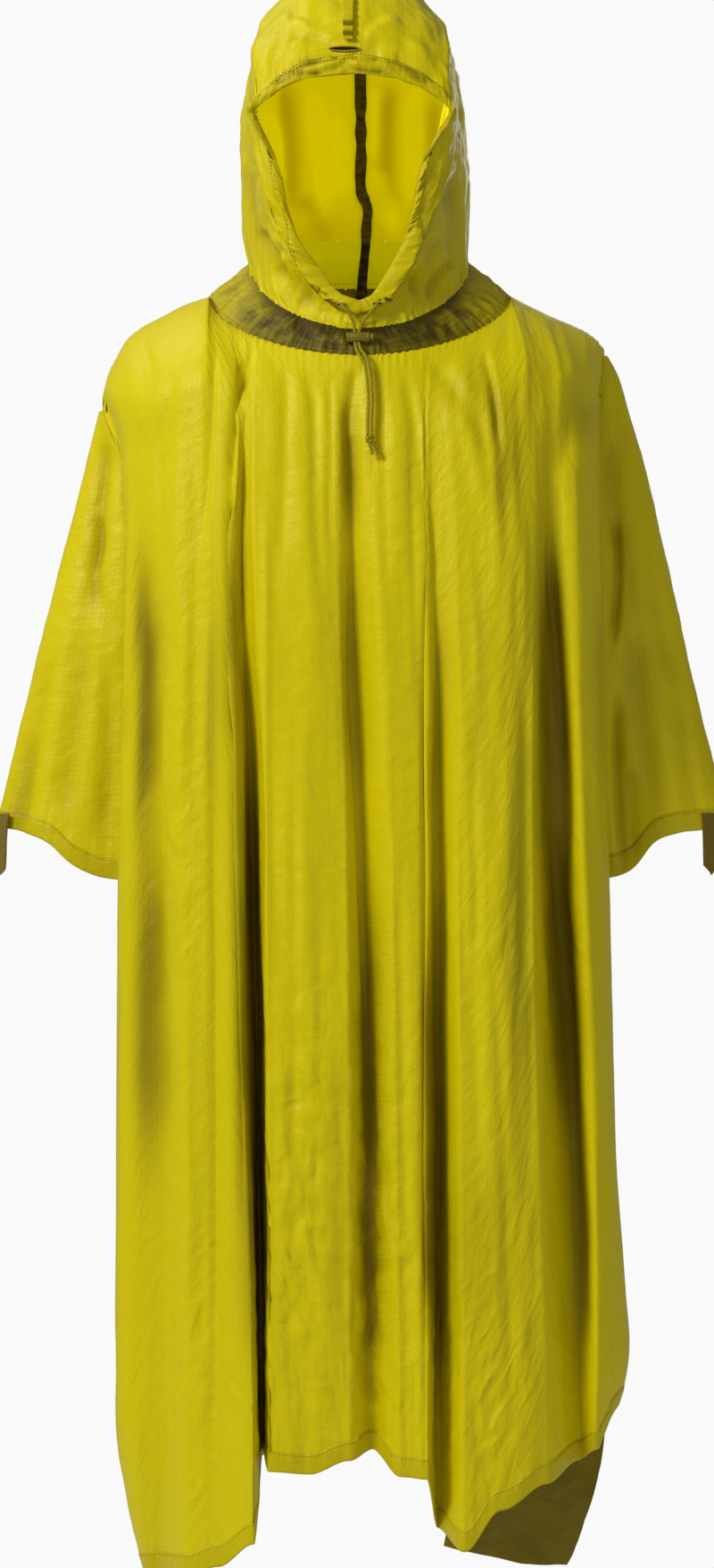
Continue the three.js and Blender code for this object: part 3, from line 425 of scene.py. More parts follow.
LEVELS = [-1060, -790, -450, -240, -110]

# Fold lines of the front from left to right: place on the top seam, place across at each level
# from the hem's up, how far it stands out there, and the height of the cloth's edge under it.
FRONT_FOLDS = [
    (-212, (-188, -188, -195, -197, -199), (-12, -14, -12, -8, -2), -1187),
    (-180, (-160, -158, -163, -167, -172), (16, 16, 12, 8, 4), -1182),
    (-143, (-130, -132, -136, -138, -142), (14, 14, 10, 6, 2), -1172),
    (-126, (-97, -105, -114, -117, -112), (24, 20, 14, 8, 3), -1149),
    (-112, (-90, -94, -101, -109, -106), (-46, -34, -24, -10, -4), -1069),
    (-94, (-83, -84, -87, -95, -96), (20, 14, 8, 3, 1), -1083),
    (-58, (-46, -46, -48, -48, -50), (12, 12, 10, 6, 2), -1086),
    (-25, (-10, -12, -15, -22, -24), (8, 8, 6, 3, 1), -1074),
    (0, (12, 6, 1, -6, -8), (-14, -12, -10, -6, -3), -1066),
    (22, (38, 36, 30, 24, 20), (14, 12, 9, 5, 2), -1088),
    (50, (62, 62, 62, 60, 56), (18, 14, 8, 4, 1), -1090),
    (74, (72, 72, 71, 69, 66), (-24, -20, -12, -4, -1), -1140),
    (100, (96, 94, 93, 92, 88), (16, 12, 8, 5, 2), -1157),
    (126, (130, 130, 129, 130, 124), (14, 16, 14, 10, 4), -1120),
    (143, (172, 163, 158, 160, 154), (10, 10, 8, 6, 2), -1098),
    (166, (203, 193, 179, 176, 178), (-22, -28, -24, -12, -4), -1082),
    (192, (221, 221, 208, 204, 202), (6, 8, 8, 4, 2), -1070),
]
FRONT_CORNERS = (-1190, -1033)
FOLD_STEPS = [0, 1, 2, 3, 4]
FOLD_AT_ARM = {"inward": [0, 1.5, 7, 16, 26], "behind": [0, 7, 12, 13.5, 12]}
FOLD_BELOW_ARM = {"inward": [0, 2, 7, 10, 10], "behind": [0, 9, 22, 38, 56]}
SIDE_CLOSES = (-548, -690)
# How far below the top seam the cloth has eased to its place across, stands out in its folds, has
# rounded over the shoulder to the body's depth, and has opened its side folds.
SETTLED_AT = 70
FOLDED_AT = 90
ROUNDED_AT = 95
OPENED_AT = 90
CLOSED_FOLD = 0.28
# The powers of the body's oval in plan: a higher first one flattens its front and back.
OVAL = {"across": 2.6, "depth": 0.42}
HEM_WIDTH = 19
HEM_SHARE = HEM_WIDTH / 1050
PANEL_ROWS = 245
STEPS_BETWEEN_FOLDS = 20
STEPS_IN_SIDE_FOLD = 14


def smooth(t):
    """0 below 0, 1 above 1, and an even ease between."""
    t = np.clip(t, 0, 1)
    return t * t * (3 - 2 * t)


def mixed(a, b, share):
    """Value between a and b."""
    return a + (b - a) * share


def fold_half_width(x, z):
    """Distance from the centre line to the side fold, on the side where x is."""
    left, right = (through(SIDE_FOLD["z"], SIDE_FOLD[edge], z) for edge in (-1, 1))
    return np.where(x < 0, left, right)


def plain_depth(x, z, side):
    """Depth of the body before its folds: an oval in plan, flattened at the side folds."""
    middle = through(DEPTH["z"], DEPTH[side], z)
    edge = through(DEPTH["z"], DEPTH["edge"], z)
    across = np.clip(np.abs(x) / fold_half_width(x, z), 0, 1)
    return edge + (middle - edge) * (1 - across ** OVAL["across"]) ** OVAL["depth"]


def yoke_seam(angle, side):
    """Seam of yoke and body: half an oval round the neck, whose height runs from the middle's
    to the shoulder's with the cosine of the angle."""
    c = np.cos(angle)
    reach, end = (YOKE["front"], YOKE["front_z"]) if side < 0 else (YOKE["back"], YOKE["back_z"])
    lift = 1 - c
    z = mixed(end, YOKE["side_z"], lift + (0.2 * lift * c if side < 0 else 0))
    return np.stack([YOKE["half"] * np.sin(angle), side * (reach * c + 1), z], axis=-1)


def top_seam(x, side):
    """A panel's top edge: the yoke's seam, and past its end the shoulder line."""
    on_ring = np.abs(x) <= YOKE["half"]
    ring = yoke_seam(np.arcsin(np.clip(x / YOKE["half"], -1, 1)), side)
    line = {}
    for edge in (-1, 1):
        table = SHOULDER[edge]
        z = through(table["x"], table["z"], np.abs(x))
        gap = np.interp(np.abs(x), table["x"], table["gap"])
        line[edge] = np.stack([x, side * gap, z], axis=-1)
    shoulder = np.where((x < 0)[..., None], line[-1], line[1])
    return np.where(on_ring[..., None], ring, shoulder)


def read_lines(values, line, z):
    """Value of a fold line at a height: a row of `values` for each line, cubic between levels."""
    levels = np.array(LEVELS, float)
    slopes = np.gradient(values, levels, axis=1)
    at = np.clip(z, levels[0], levels[-1])
    i = np.clip(np.searchsorted(levels, at) - 1, 0, len(levels) - 2)
    span = levels[i + 1] - levels[i]
    ends = (values[line, i], values[line, i + 1])
    return hermite(*ends, slopes[line, i] * span, slopes[line, i + 1] * span, (at - levels[i]) / span)


def panel_surface(folds, corners, side, place, share):
    """Body panel between its side folds. `place` counts the fold lines from the left edge, and
    `share` runs from the top seam to the edge. A column leaves its place on the top seam, eases
    to its place between the two fold lines, and rounds over the shoulder on a quarter of an oval
    to the body's depth plus the folds' own."""
    still = (0,) * len(LEVELS)
    tips = [SHOULDER[edge]["x"][-1] for edge in (-1, 1)]
    rows = [(-tips[0], still, still, corners[0]), *folds, (tips[1], still, still, corners[1])]
    top, across, out, hem = (np.array([row[k] for row in rows], float) for k in range(4))
    last = len(rows) - 1
    line = np.clip(np.floor(place).astype(int), 0, last - 1)
    t = place - line
    angle = np.arcsin(np.clip(top / YOKE["half"], -1, 1))
    on_ring = (np.abs(top[line]) <= YOKE["half"]) & (np.abs(top[line + 1]) <= YOKE["half"])
    round_ring = YOKE["half"] * np.sin(mixed(angle[line], angle[line + 1], t))
    top_x = np.where(on_ring, round_ring, mixed(top[line], top[line + 1], t))
    start = top_seam(top_x, side)
    foot = mixed(hem[line], hem[line + 1], smooth(t))
    z = mixed(start[:, 2][None, :], foot[None, :], share[:, None])
    drop = start[:, 2][None, :] - z
    line = np.broadcast_to(line, z.shape)

    def line_x(k):
        inner = read_lines(across, k, z)
        left = -fold_half_width(-np.ones_like(z), z)
        right = fold_half_width(np.ones_like(z), z)
        return np.where(k == 0, left, np.where(k == last, right, inner))

    settled = mixed(line_x(line), line_x(line + 1), t)
    x = mixed(start[:, 0][None, :], settled, smooth(drop / SETTLED_AT))
    stand = mixed(read_lines(out, line, z), read_lines(out, line + 1, z), smooth(t))
    stand = stand * smooth(drop / FOLDED_AT)
    over = np.clip(drop / ROUNDED_AT, 0, 1)
    depth = mixed(np.abs(start[:, 1])[None, :], plain_depth(x, z, side), np.sqrt(1 - (1 - over) ** 2))
    return np.stack([x, side * (depth + stand), z], axis=-1), stand


def fold_growth(edge, z):
    """How far the side fold has opened below the shoulder point."""
    return mixed(CLOSED_FOLD, 1, smooth((SHOULDER[edge]["z"][-1] - z) / OPENED_AT))


def below_arm(z):
    """0 down to the arm's hem and 1 where the side has closed under it."""
    return smooth((SIDE_CLOSES[0] - z) / (SIDE_CLOSES[0] - SIDE_CLOSES[1]))


def side_fold(edge_points, edge, side, k):
    """Columns of the side fold: set off inwards and back from the panel's own edge."""
    z = edge_points[:, None, 2]
    low = below_arm(z)
    growth = fold_growth(edge, z)
    steps = {
        way: mixed(
            through(FOLD_STEPS, FOLD_AT_ARM[way], k)[None, :],
            through(FOLD_STEPS, FOLD_BELOW_ARM[way], k)[None, :],
            low,
        )
        * growth
        for way in ("inward", "behind")
    }
    x = edge_points[:, None, 0] - edge * steps["inward"]
    y = edge_points[:, None, 1] - side * steps["behind"]
    return np.stack([x, y, z + 0 * x], axis=-1)


def full_panel(folds, corners, side, share):
    """A panel with both side folds, and how far each point's fold stands out."""
    last = len(folds) + 1
    place = np.linspace(0, last, last * STEPS_BETWEEN_FOLDS + 1)
    middle, stand = panel_surface(folds, corners, side, place, share)
    k = np.linspace(0, FOLD_STEPS[-1], STEPS_IN_SIDE_FOLD + 1)[1:]
    left = side_fold(middle[:, 0], -1, side, k[::-1])
    right = side_fold(middle[:, -1], 1, side, k)
    still = np.zeros((len(share), len(k)))
    points = np.concatenate([left, middle, right], axis=1)
    return points, np.concatenate([still, stand, still], axis=1)


def row_shares(count, end):
    """Shares of the height for the rows, closer together on the shoulder."""
    return np.linspace(0, 1, count + 1) ** 1.35 * end


def surface_normals(points, closed=False):
    """Unit normal at each grid point, square to its row and its column."""
    if closed:
        wide = np.concatenate([points[:, -1:], points, points[:, :1]], axis=1)
        across = np.gradient(wide, axis=1)[:, 1:-1]
    else:
        across = np.gradient(points, axis=1)
    return unit(np.cross(across, np.gradient(points, axis=0)))


def cloth_places(points):
    """Each point's place on the flat cloth in metres: across, the running length along the
    middle row, and down, the running length of its own column."""
    across = lengths(points[len(points) // 2])
    down = lengths(points)
    return np.stack([np.broadcast_to(across, down.shape), down], axis=-1) * MM


def soft_noise(u, v, cell, seed):
    """Uneven heights from -1 to 1: a random number at each corner of square cells, eased."""
    table = np.random.default_rng(seed).uniform(-1, 1, (97, 89))
    a, b = np.asarray(u) / cell + 40.3, np.asarray(v) / cell + 35.7
    i, j = np.floor(a).astype(int), np.floor(b).astype(int)
    s, t = smooth(a - i), smooth(b - j)

    def corner(di, dj):
        return table[(i + di) % 97, (j + dj) % 89]

    return mixed(mixed(corner(0, 0), corner(1, 0), s), mixed(corner(0, 1), corner(1, 1), s), t)


def crumple(u, v, cell, seed):
    """Crushed cloth: sharp little ridges and valleys where uneven heights cross zero, on three
    scales, bent out of line by a slower unevenness."""
    bend = 0.5 * cell * soft_noise(u, v, 1.7 * cell, seed + 9)
    total = 0
    for octave in range(3):
        size = cell / 1.9**octave
        ridge = np.abs(soft_noise(u + bend, v - bend, size, seed + octave))
        valley = np.abs(soft_noise(v + bend, u + bend, size, seed + octave + 4))
        total = total + (valley - ridge) / 1.7**octave
    return total


def crease_relief(x, z, creases, ends=(0.22, 0.3)):
    """Height given by a table of creases. Each runs from one point to another with a bow at its
    middle, fades over the given share at both ends, and has a width and a height, below zero for
    a trough. A lean of 1 or -1 puts its whole height on one side of the line, as where a fold
    lies over the next."""
    total = np.zeros_like(x)
    for x0, z0, x1, z1, bow, width, height, lean in creases:
        reach = math.hypot(x1 - x0, z1 - z0)
        ahead = ((x1 - x0) / reach, (z1 - z0) / reach)
        t = ((x - x0) * ahead[0] + (z - z0) * ahead[1]) / reach
        inside = np.clip(t, 0, 1)
        aside = (x - x0) * ahead[1] - (z - z0) * ahead[0] + 4 * bow * inside * (1 - inside)
        fade = smooth(t / ends[0] + 0.1) * smooth((1 - t) / ends[1] + 0.1)
        profile = np.exp(-((aside / width) ** 2)) * (1 + lean * np.tanh(aside / (0.3 * width)))
        total = total + height * fade * profile
    return total


# Each ripstop square is 5 mm wide.
RIPSTOP_PER_M = 200.0


def coated_ripstop(name, lit, painted_shade_colour, lining=None, roughness=0.42, through=None):
    """Coated ripstop nylon: a thin plain weave with a square grid of thicker yarns, tiny creases
    all over, crushed stretches, a satin coating, and painted shade down in the folds, as much as
    the piece's own layer of it says. Light that comes through the thin cloth is painted as a
    glow on its inner side, as much as the piece's own layer "daylight" says."""
    tint = (1.0, 0.94, 0.5, 1.0)
    glow = 1.0 if through else 0.0
    finish = Finish(name, Specular_IOR_Level=0.3, Specular_Tint=tint, Emission_Strength=glow)
    flat = finish.node("ShaderNodeUVMap", {"uv_map": "cloth"})
    cells = finish.node("ShaderNodeVectorMath", {"operation": "SCALE"}, {0: flat, "Scale": RIPSTOP_PER_M})
    place = finish.node("ShaderNodeVectorMath", {"operation": "FRACTION"}, {0: cells})
    yarns = []
    for axis in (0, 1):
        across = finish.node("ShaderNodeSeparateXYZ", None, {0: place}, axis)
        yarns.append((across - 0.5).maths("ABSOLUTE", across - 0.5).between(0.36, 0.48))
    grid = yarns[0].maths("MAXIMUM", yarns[0], yarns[1])
    weave = finish.node("ShaderNodeTexNoise", None, {"Vector": flat, "Scale": 1500.0, "Detail": 2.0})
    crinkle = finish.node("ShaderNodeTexNoise", None, {"Vector": flat, "Scale": 75.0, "Detail": 5.0})
    patches = finish.node("ShaderNodeTexNoise", None, {"Vector": flat, "Scale": 9.0, "Detail": 3.0})
    hollow = finish.node("ShaderNodeAttribute", {"attribute_name": "hollow"}, None, 2)
    # How far the colour goes to the painted shade colour: the piece's painted shade, with random patches
    # of tone and the grid's darker yarns.
    shade = (hollow + (patches - 0.5) * 0.2 + grid * 0.06).between(0.0, 1.0)
    colour = finish.colour_mix(shade, lit, painted_shade_colour)
    if lining:
        back = finish.node("ShaderNodeNewGeometry", None, None, 6)
        colour = finish.colour_mix(back, colour, lining)
    # The inner side glows with painted daylight, as if light came through the cloth.
    if through:
        daylight = finish.node("ShaderNodeAttribute", {"attribute_name": "daylight"}, None, 2)
        finish.feed(Emission_Color=finish.colour_mix(back * daylight, rgb(0, 0, 0), through))
    ridges = finish.node(
        "ShaderNodeTexNoise",
        {"noise_type": "RIDGED_MULTIFRACTAL"},
        {"Vector": flat, "Scale": 46.0, "Detail": 2.0, "Roughness": 0.6, "Distortion": 0.6},
    )
    crushed = finish.node("ShaderNodeAttribute", {"attribute_name": "crushed"}, None, 2)
    creased = finish.bump(ridges * crushed, 0.0035, finish.bump(crinkle + patches * 0.5, 0.0014))
    finish.feed(
        Base_Color=colour,
        Roughness=roughness + (weave - 0.5) * 0.12 + grid * 0.05,
        Normal=finish.bump(grid * 0.6 + weave * 0.4, 0.00012, creased),
    )
    return finish


# The cloth's own yellow, its painted shade colour for the folds, and its inner side painted darker as
# shade.
YELLOW_LIT = rgb(222, 205, 0)
YELLOW_PAINTED_SHADE = rgb(132, 112, 2)
YELLOW_INSIDE_PAINTED_SHADE = rgb(150, 135, 4)
SHELL = coated_ripstop("coated_ripstop", YELLOW_LIT, YELLOW_PAINTED_SHADE, YELLOW_INSIDE_PAINTED_SHADE)

# Creases of the front: x and z of both ends, bow, width, height and lean, in millimetres.
FRONT_CREASES = [
    (-98, -48, -116, -190, -4, 7, -5, 1),
    (-115, -170, -114, -450, 0, 8, -7, 1),
    (-113, -400, -104, -900, 0, 7, -5, 1),
    (-86, -175, -86, -700, 0, 4, 2.2, 0),
    (-4, -66, -12, -130, 1, 6, -4, 0),
    (-12, -95, -9, -420, 2, 7, -3.5, -1),
    (-9, -300, 12, -900, 0, 8, -4, -1),
    (63, -230, 62, -1080, 0, 5, -5, 1),
    (48, -120, 58, -420, -2, 5, -2.4, 0),
    (62, -56, 128, -160, 6, 9, -3.2, 0),
    (118, -48, 132, -150, 3, 7, -3, 1),
    (96, -52, 118, -210, -4, 8, 2.4, 0),
    (170, -215, 188, -560, 4, 9, -5, -1),
    (176, -480, 205, -1010, 4, 9, -5, -1),
    (214, -66, 190, -170, -5, 13, -5, 0),
    (-203, -220, -200, -520, 0, 9, -3, 0),
    (-194, -480, -176, -800, 0, 9, -3.5, 0),
    (-150, -120, -160, -520, 3, 8, -2.4, 0),
    (-176, -60, -186, -190, 3, 8, -2.6, 0),
    (-132, -44, -146, -250, 3, 6, -2, 1),
    (-68, -58, -74, -260, 2, 6, -2, 0),
    (-40, -62, -36, -300, -2, 6, -2.2, 0),
    (-28, -70, -30, -240, 2, 4, -1.4, 0),
    (22, -66, 26, -300, -2, 6, -2, 0),
    (40, -64, 62, -230, 3, 6, -2.4, 0),
    (82, -300, 96, -700, 3, 6, -2.4, 0),
    (108, -330, 112, -900, -3, 6, -2.6, 0),
    (124, -600, 140, -1080, 3, 7, -2.8, 0),
    (150, -320, 152, -700, 2, 6, -2.2, 0),
    (-134, -420, -132, -1040, 2, 6, -2.6, 1),
    (-60, -420, -66, -1040, 2, 6, -2.2, 0),
    (-34, -520, -40, -1000, -2, 6, -2, 0),
    (34, -480, 44, -1060, 2, 6, -2.2, 0),
]

# Stripes of painted shade where the thin cloth lies over its own folds: x and z of both ends,
# bow, width, how dark and lean.
FRONT_SHADE_STRIPES = [
    (-207, -200, -209, -540, 0, 20, 0.42, -1),
    (-209, -470, -206, -860, 0, 28, 0.34, -1),
    (-226, -290, -225, -440, 0, 8, 0.35, 0),
    (-142, -230, -141, -540, 0, 12, 0.26, -1),
    (-156, -560, -156, -1000, 0, 13, 0.16, -1),
    (-106, -150, -108, -460, 0, 12, 0.3, 1),
    (-99, -330, -88, -1070, 0, 19, 0.5, 1),
    (-14, -70, -13, -240, 2, 9, 0.55, 0),
    (-13, -200, -10, -520, 0, 12, 0.4, 0),
    (0, -480, 2, -1090, 0, 21, 0.52, -1),
    (-26, -640, -24, -1040, 3, 14, 0.25, 0),
    (66, -230, 66, -540, 0, 12, 0.26, -1),
    (63, -490, 62, -1090, 0, 16, 0.52, -1),
    (97, -190, 108, -520, 2, 14, 0.22, -1),
    (112, -56, 126, -250, 3, 11, 0.34, -1),
    (144, -90, 144, -200, 0, 8, 0.36, 0),
    (142, -300, 148, -900, 0, 12, 0.42, 0),
    (168, -160, 180, -560, 2, 16, 0.75, 0),
    (181, -450, 197, -800, 0, 17, 0.75, 0),
    (206, -690, 217, -1050, 0, 16, 0.34, 1),
    (224, -240, 226, -500, 0, 9, 0.32, 0),
    (222, -84, 200, -150, -6, 18, 0.35, 0),
    (112, -740, 112, -1020, 0, 34, 0.28, 0),
    (60, -72, 140, -110, 0, 34, 0.26, 0),
]

# Where the front is crushed: middle, half width and half height of the place, and how much.
CRUSHED = [
    (-50, -870, 40, 240, 1.0),
    (22, -900, 30, 230, 0.7),
    (120, -1000, 70, 170, 0.55),
    (-160, -1030, 60, 160, 0.4),
    (-170, -520, 40, 120, 0.3),
    (150, -620, 70, 120, 0.3),
    (0, -300, 200, 200, 0.1),
]


def crushed_share(x, z):
    """How crushed the front is at a place: the sum of soft oval patches."""
    total = np.zeros_like(x)
    for middle_x, middle_z, half_x, half_z, much in CRUSHED:
        away = ((x - middle_x) / half_x) ** 2 + ((z - middle_z) / half_z) ** 2
        total = total + much * np.exp(-away)
    return total


# The front's long waves and its crushed cloth, and how much painted shade its colour takes with
# the depth behind the folds' crowns.
FRONT_FLUTES = [(1.7, 9, 24, 31), (0.9, 7, 11, 32)]
FRONT_CRUMPLE = {"width": 24, "height": 3.1}
FRONT_FOLD_SHADE = {"crown": 6, "depth": 55, "most": 0.55}


def flutes(run, drop, rows):
    """Long soft waves that hang down the cloth. Each row gives their height, how much longer than
    wide they are, their width, and the seed of their unevenness."""
    waves = [high * soft_noise(run, drop / longer, wide, seed) for high, longer, wide, seed in rows]
    return sum(waves)


def puckers(run, drop, spacing, reach, height, seed):
    """Small gathers along a seam: uneven waves across it that die away within their reach."""
    uneven = soft_noise(run, 0 * run, 3.1 * spacing, seed)
    wave = np.cos(2 * np.pi * run / spacing + 3 * uneven)
    return height * (0.55 + 0.45 * uneven) * wave * np.exp(-np.maximum(drop, 0) / reach)


HEM_ROWS = 8
HEM_PROUD = 0.7


def split_hem(whole, cloth, hollow, side):
    """The rows of a panel, and those of its hem, which is folded double: it stands a little
    proud, and its own row of stitches pulls it in along its upper edge."""
    rows = slice(len(whole) - HEM_ROWS - 1, None)
    hem = whole[rows]
    height = np.linspace(0, 1, HEM_ROWS + 1)[:, None]
    proud = HEM_PROUD * (0.25 + smooth(height * 4)) * np.ones(hem.shape[:2])
    hem = hem + surface_normals(hem) * proud[..., None] * side
    return (whole[: rows.start + 1], cloth[: rows.start + 1], hollow[: rows.start + 1]), (
        hem,
        cloth[rows],
        hollow[rows],
    )


panel_shares = np.concatenate(
    [row_shares(PANEL_ROWS, 1 - HEM_SHARE), np.linspace(1 - HEM_SHARE, 1, HEM_ROWS + 1)[1:]]
)
front, front_stand = full_panel(FRONT_FOLDS, FRONT_CORNERS, -1, panel_shares)
front_cloth = cloth_places(front)
run, drop = front_cloth[..., 0] / MM, front_cloth[..., 1] / MM
x, z = front[..., 0], front[..., 2]
to_hem = drop[-1:] - drop
free = smooth(drop / 60) * smooth(to_hem / 30 + 0.3)
relief = crease_relief(x, z, FRONT_CREASES) * smooth(drop / 12)
crushed = FRONT_CRUMPLE["height"] * crumple(run, drop * 0.8, FRONT_CRUMPLE["width"], 40)
relief = relief + (flutes(run, drop, FRONT_FLUTES) + crushed * crushed_share(x, z)) * free
relief = relief + puckers(run, drop, spacing=7.5, reach=13, height=0.9, seed=51)
from_hem_seam = np.abs(to_hem - HEM_WIDTH)
relief = relief + puckers(run, from_hem_seam, spacing=8.5, reach=9, height=0.5, seed=52)
front = front - surface_normals(front) * relief[..., None]
# The stripes of painted shade wander a few millimetres aside and fade over nearly half their
# length at each end.
wander = 3 * soft_noise(run / 3, drop, 60, 33) + 1.2 * soft_noise(run, drop / 3, 16, 34)
shade_stripes = crease_relief(x + wander, z, FRONT_SHADE_STRIPES, (0.45, 0.45))
# Painted shade: deeper behind the folds' crowns, and along the stripes.
behind_crown = (FRONT_FOLD_SHADE["crown"] - front_stand - relief) / FRONT_FOLD_SHADE["depth"]
front_hollow = np.clip(FRONT_FOLD_SHADE["most"] * smooth(behind_crown) + shade_stripes, 0, 1)
front_rows, front_hem_rows = split_hem(front, front_cloth, front_hollow, -1)
front_panel = grid_piece(
    "front_shell",
    front_rows[0],
    front_rows[1],
    SHELL,
    hollow=front_rows[2],
    crushed=np.clip(crushed_share(x, z) + 0.12, 0, 1)[: len(front_rows[0])],
)
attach(front_panel, "root")
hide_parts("front_panel")

# The front's foot is turned up twice and stitched once, which makes a double band with small
# puckers along its thread. Its yellows are painted darker than the single cloth's, as shade, and
# its inner side takes the painted shade yellow.
DOUBLED_LIT = rgb(206, 189, 1)
DOUBLED_PAINTED_SHADE = rgb(124, 106, 4)
DOUBLED = coated_ripstop("doubled_ripstop", DOUBLED_LIT, DOUBLED_PAINTED_SHADE, YELLOW_PAINTED_SHADE, 0.42)
HEM_THICK = 1.4
STITCH = {"length": 2.7, "pitch": 3.8, "thick": 0.36, "rings": 5, "sides": 5}


def thicken(piece, millimetres):
    """Gives a piece of doubled cloth its thickness, inwards from its outer face."""
    wall = piece.modifiers.new("thickness", "SOLIDIFY")
    wall.thickness = millimetres * MM
    wall.offset = -1
    return piece


def sewing_thread():
    """Spun polyester thread, a shade darker than the cloth, with a soft gloss."""
    finish = Finish("sewing_thread", Roughness=0.55, Specular_IOR_Level=0.35)
    twist = finish.node("ShaderNodeTexNoise", None, {"Scale": 3000.0, "Detail": 1.0})
    finish.feed(Base_Color=finish.colour_mix(twist, rgb(120, 104, 6), rgb(178, 162, 20)))
    return finish


THREAD = sewing_thread()


def stitches(path, out):
    """Stitches along a line on the cloth: one small spindle to each pitch, lying on the line and
    half sunk into the cloth at both ends. Returns a grid of points that holds them all."""
    run = lengths(path)
    starts = np.arange(STITCH["pitch"] / 2, run[-1] - STITCH["pitch"], STITCH["pitch"])
    ring = np.linspace(0, 1, STITCH["rings"])
    at = starts[:, None] + ring * STITCH["length"]
    centre = np.stack([np.interp(at, run, path[:, k]) for k in range(3)], axis=-1)
    rise = np.stack([np.interp(at, run, out[:, k]) for k in range(3)], axis=-1)
    ahead = unit(centre[:, -1:] - centre[:, :1])
    side = unit(np.cross(ahead, rise))
    turn = np.linspace(0, 2 * np.pi, STITCH["sides"], endpoint=False)
    swell = STITCH["thick"] * np.sqrt(np.maximum(1 - (2 * ring - 1) ** 2, 0.03))
    middle = centre + rise * (0.25 * STITCH["thick"] + 0.5 * swell - 0.15)[None, :, None]
    spoke = (
        side[:, :, None] * np.cos(turn)[None, None, :, None]
        + unit(rise)[:, :, None] * np.sin(turn)[None, None, :, None]
    )
    return middle[:, :, None] + spoke * swell[None, :, None, None]


def stitch_piece(name, runs):
    """One object for all the rows of stitches on a piece of the garment."""
    spindles = np.concatenate([stitches(path, out) for path, out in runs])
    count, rings, sides = spindles.shape[:3]
    ring, turn = np.meshgrid(np.arange(rings - 1), np.arange(sides), indexing="ij")
    nexts = (turn + 1) % sides
    cell = [ring * sides + turn, ring * sides + nexts, (ring + 1) * sides + nexts]
    cell.append((ring + 1) * sides + turn)
    faces = np.stack([corner.ravel() for corner in cell], axis=1)
    faces = (faces[None] + (np.arange(count) * rings * sides)[:, None, None]).reshape(-1, 4)
    mesh = bpy.data.meshes.new(name)
    mesh.from_pydata((spindles.reshape(-1, 3) * MM).tolist(), [], faces.tolist())
    mesh.polygons.foreach_set("use_smooth", np.ones(len(mesh.polygons), dtype=bool))
    piece = bpy.data.objects.new(name, mesh)
    bpy.context.scene.collection.objects.link(piece)
    piece.data.materials.append(THREAD.material)
    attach(piece, "root")
    return piece


def doubled_piece(name, points, cloth, hollow, side, node):
    """A hem band: its own piece of doubled cloth, which stands for its node."""
    piece = grid_piece(name, points, cloth, DOUBLED, flip=side > 0, hollow=hollow)
    thicken(piece, HEM_THICK)
    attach(piece, "root")
    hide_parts(node)
    return piece


def hem_stitches(points, side):
    """The line of a hem's stitches just under its upper edge, with the cloth's outward direction
    along it."""
    out = surface_normals(points) * side
    return [(points[1], out[1])]


front_hem = doubled_piece("front_hem_band", *front_hem_rows, -1, "front_hem")
stitch_piece("front_hem_stitches", hem_stitches(front_hem_rows[0], -1))

# The front's right lower corner is blown back under itself, so that the cloth's inside and the
# inside of its hem show below the slanting edge. That inside is painted in darker yellows, as shade.
CORNER_RIGHT = {"v": [0, 0.3, 0.55, 0.8, 1], "x": [232.6, 229, 221, 208, 196]}
CORNER_FOOT = {"u": [0, 0.25, 0.6, 1], "x": [78, 104, 150, 196], "z": [-1159, -1166, -1181, -1188]}
CORNER_TOP = {"u": [0, 0.3, 0.7, 1], "x": [84, 128, 178, 232.6], "z": [-1128, -1098, -1070, -1033.6]}
CORNER_STEPS = 60


def corner_surface(u, v):
    """Between its upper edge (v = 0), its foot (v = 1) and its bowed right edge (u = 1). It lies
    40 mm behind the front and comes forward as it nears its right edge."""
    top_x, foot_x = (np.interp(u, table["u"], table["x"]) for table in (CORNER_TOP, CORNER_FOOT))
    top_z, foot_z = (np.interp(u, table["u"], table["z"]) for table in (CORNER_TOP, CORNER_FOOT))
    right = CORNER_RIGHT["x"]
    bow = through(CORNER_RIGHT["v"], right, v) - mixed(right[0], right[-1], v)
    x = mixed(top_x, foot_x, v) + bow * u
    z = mixed(top_z, foot_z, v)
    depth = mixed(plain_depth(x, z, -1) - 40, 59, u * u) + 5 * np.sin(3 * np.pi * u) * v
    return np.stack([x, -depth, z], axis=-1)


corner_share = np.linspace(0, 1, CORNER_STEPS + 1)
u, v = np.meshgrid(corner_share, corner_share)
corner = corner_surface(u, v)
corner_cloth = cloth_places(corner)
corner_relief = 2.0 * soft_noise(corner[..., 0] + corner[..., 2], corner[..., 2] * 0.4, 22, 61)
corner_relief = corner_relief + 1.2 * crumple(corner[..., 0], corner[..., 2], 24, 62)
corner = corner - surface_normals(corner) * corner_relief[..., None] * smooth(v * 3)[..., None]
# The corner's inside, painted darker as shade.
CORNER_INSIDE_PAINTED_SHADE = coated_ripstop("ripstop_inside_painted_shade", rgb(132, 116, 6), rgb(92, 74, 8), None, 0.46)
front_corner = grid_piece("corner_inside", corner, corner_cloth, CORNER_INSIDE_PAINTED_SHADE, hollow=0.4 + 0 * u)
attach(front_corner, "root")
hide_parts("front_corner")

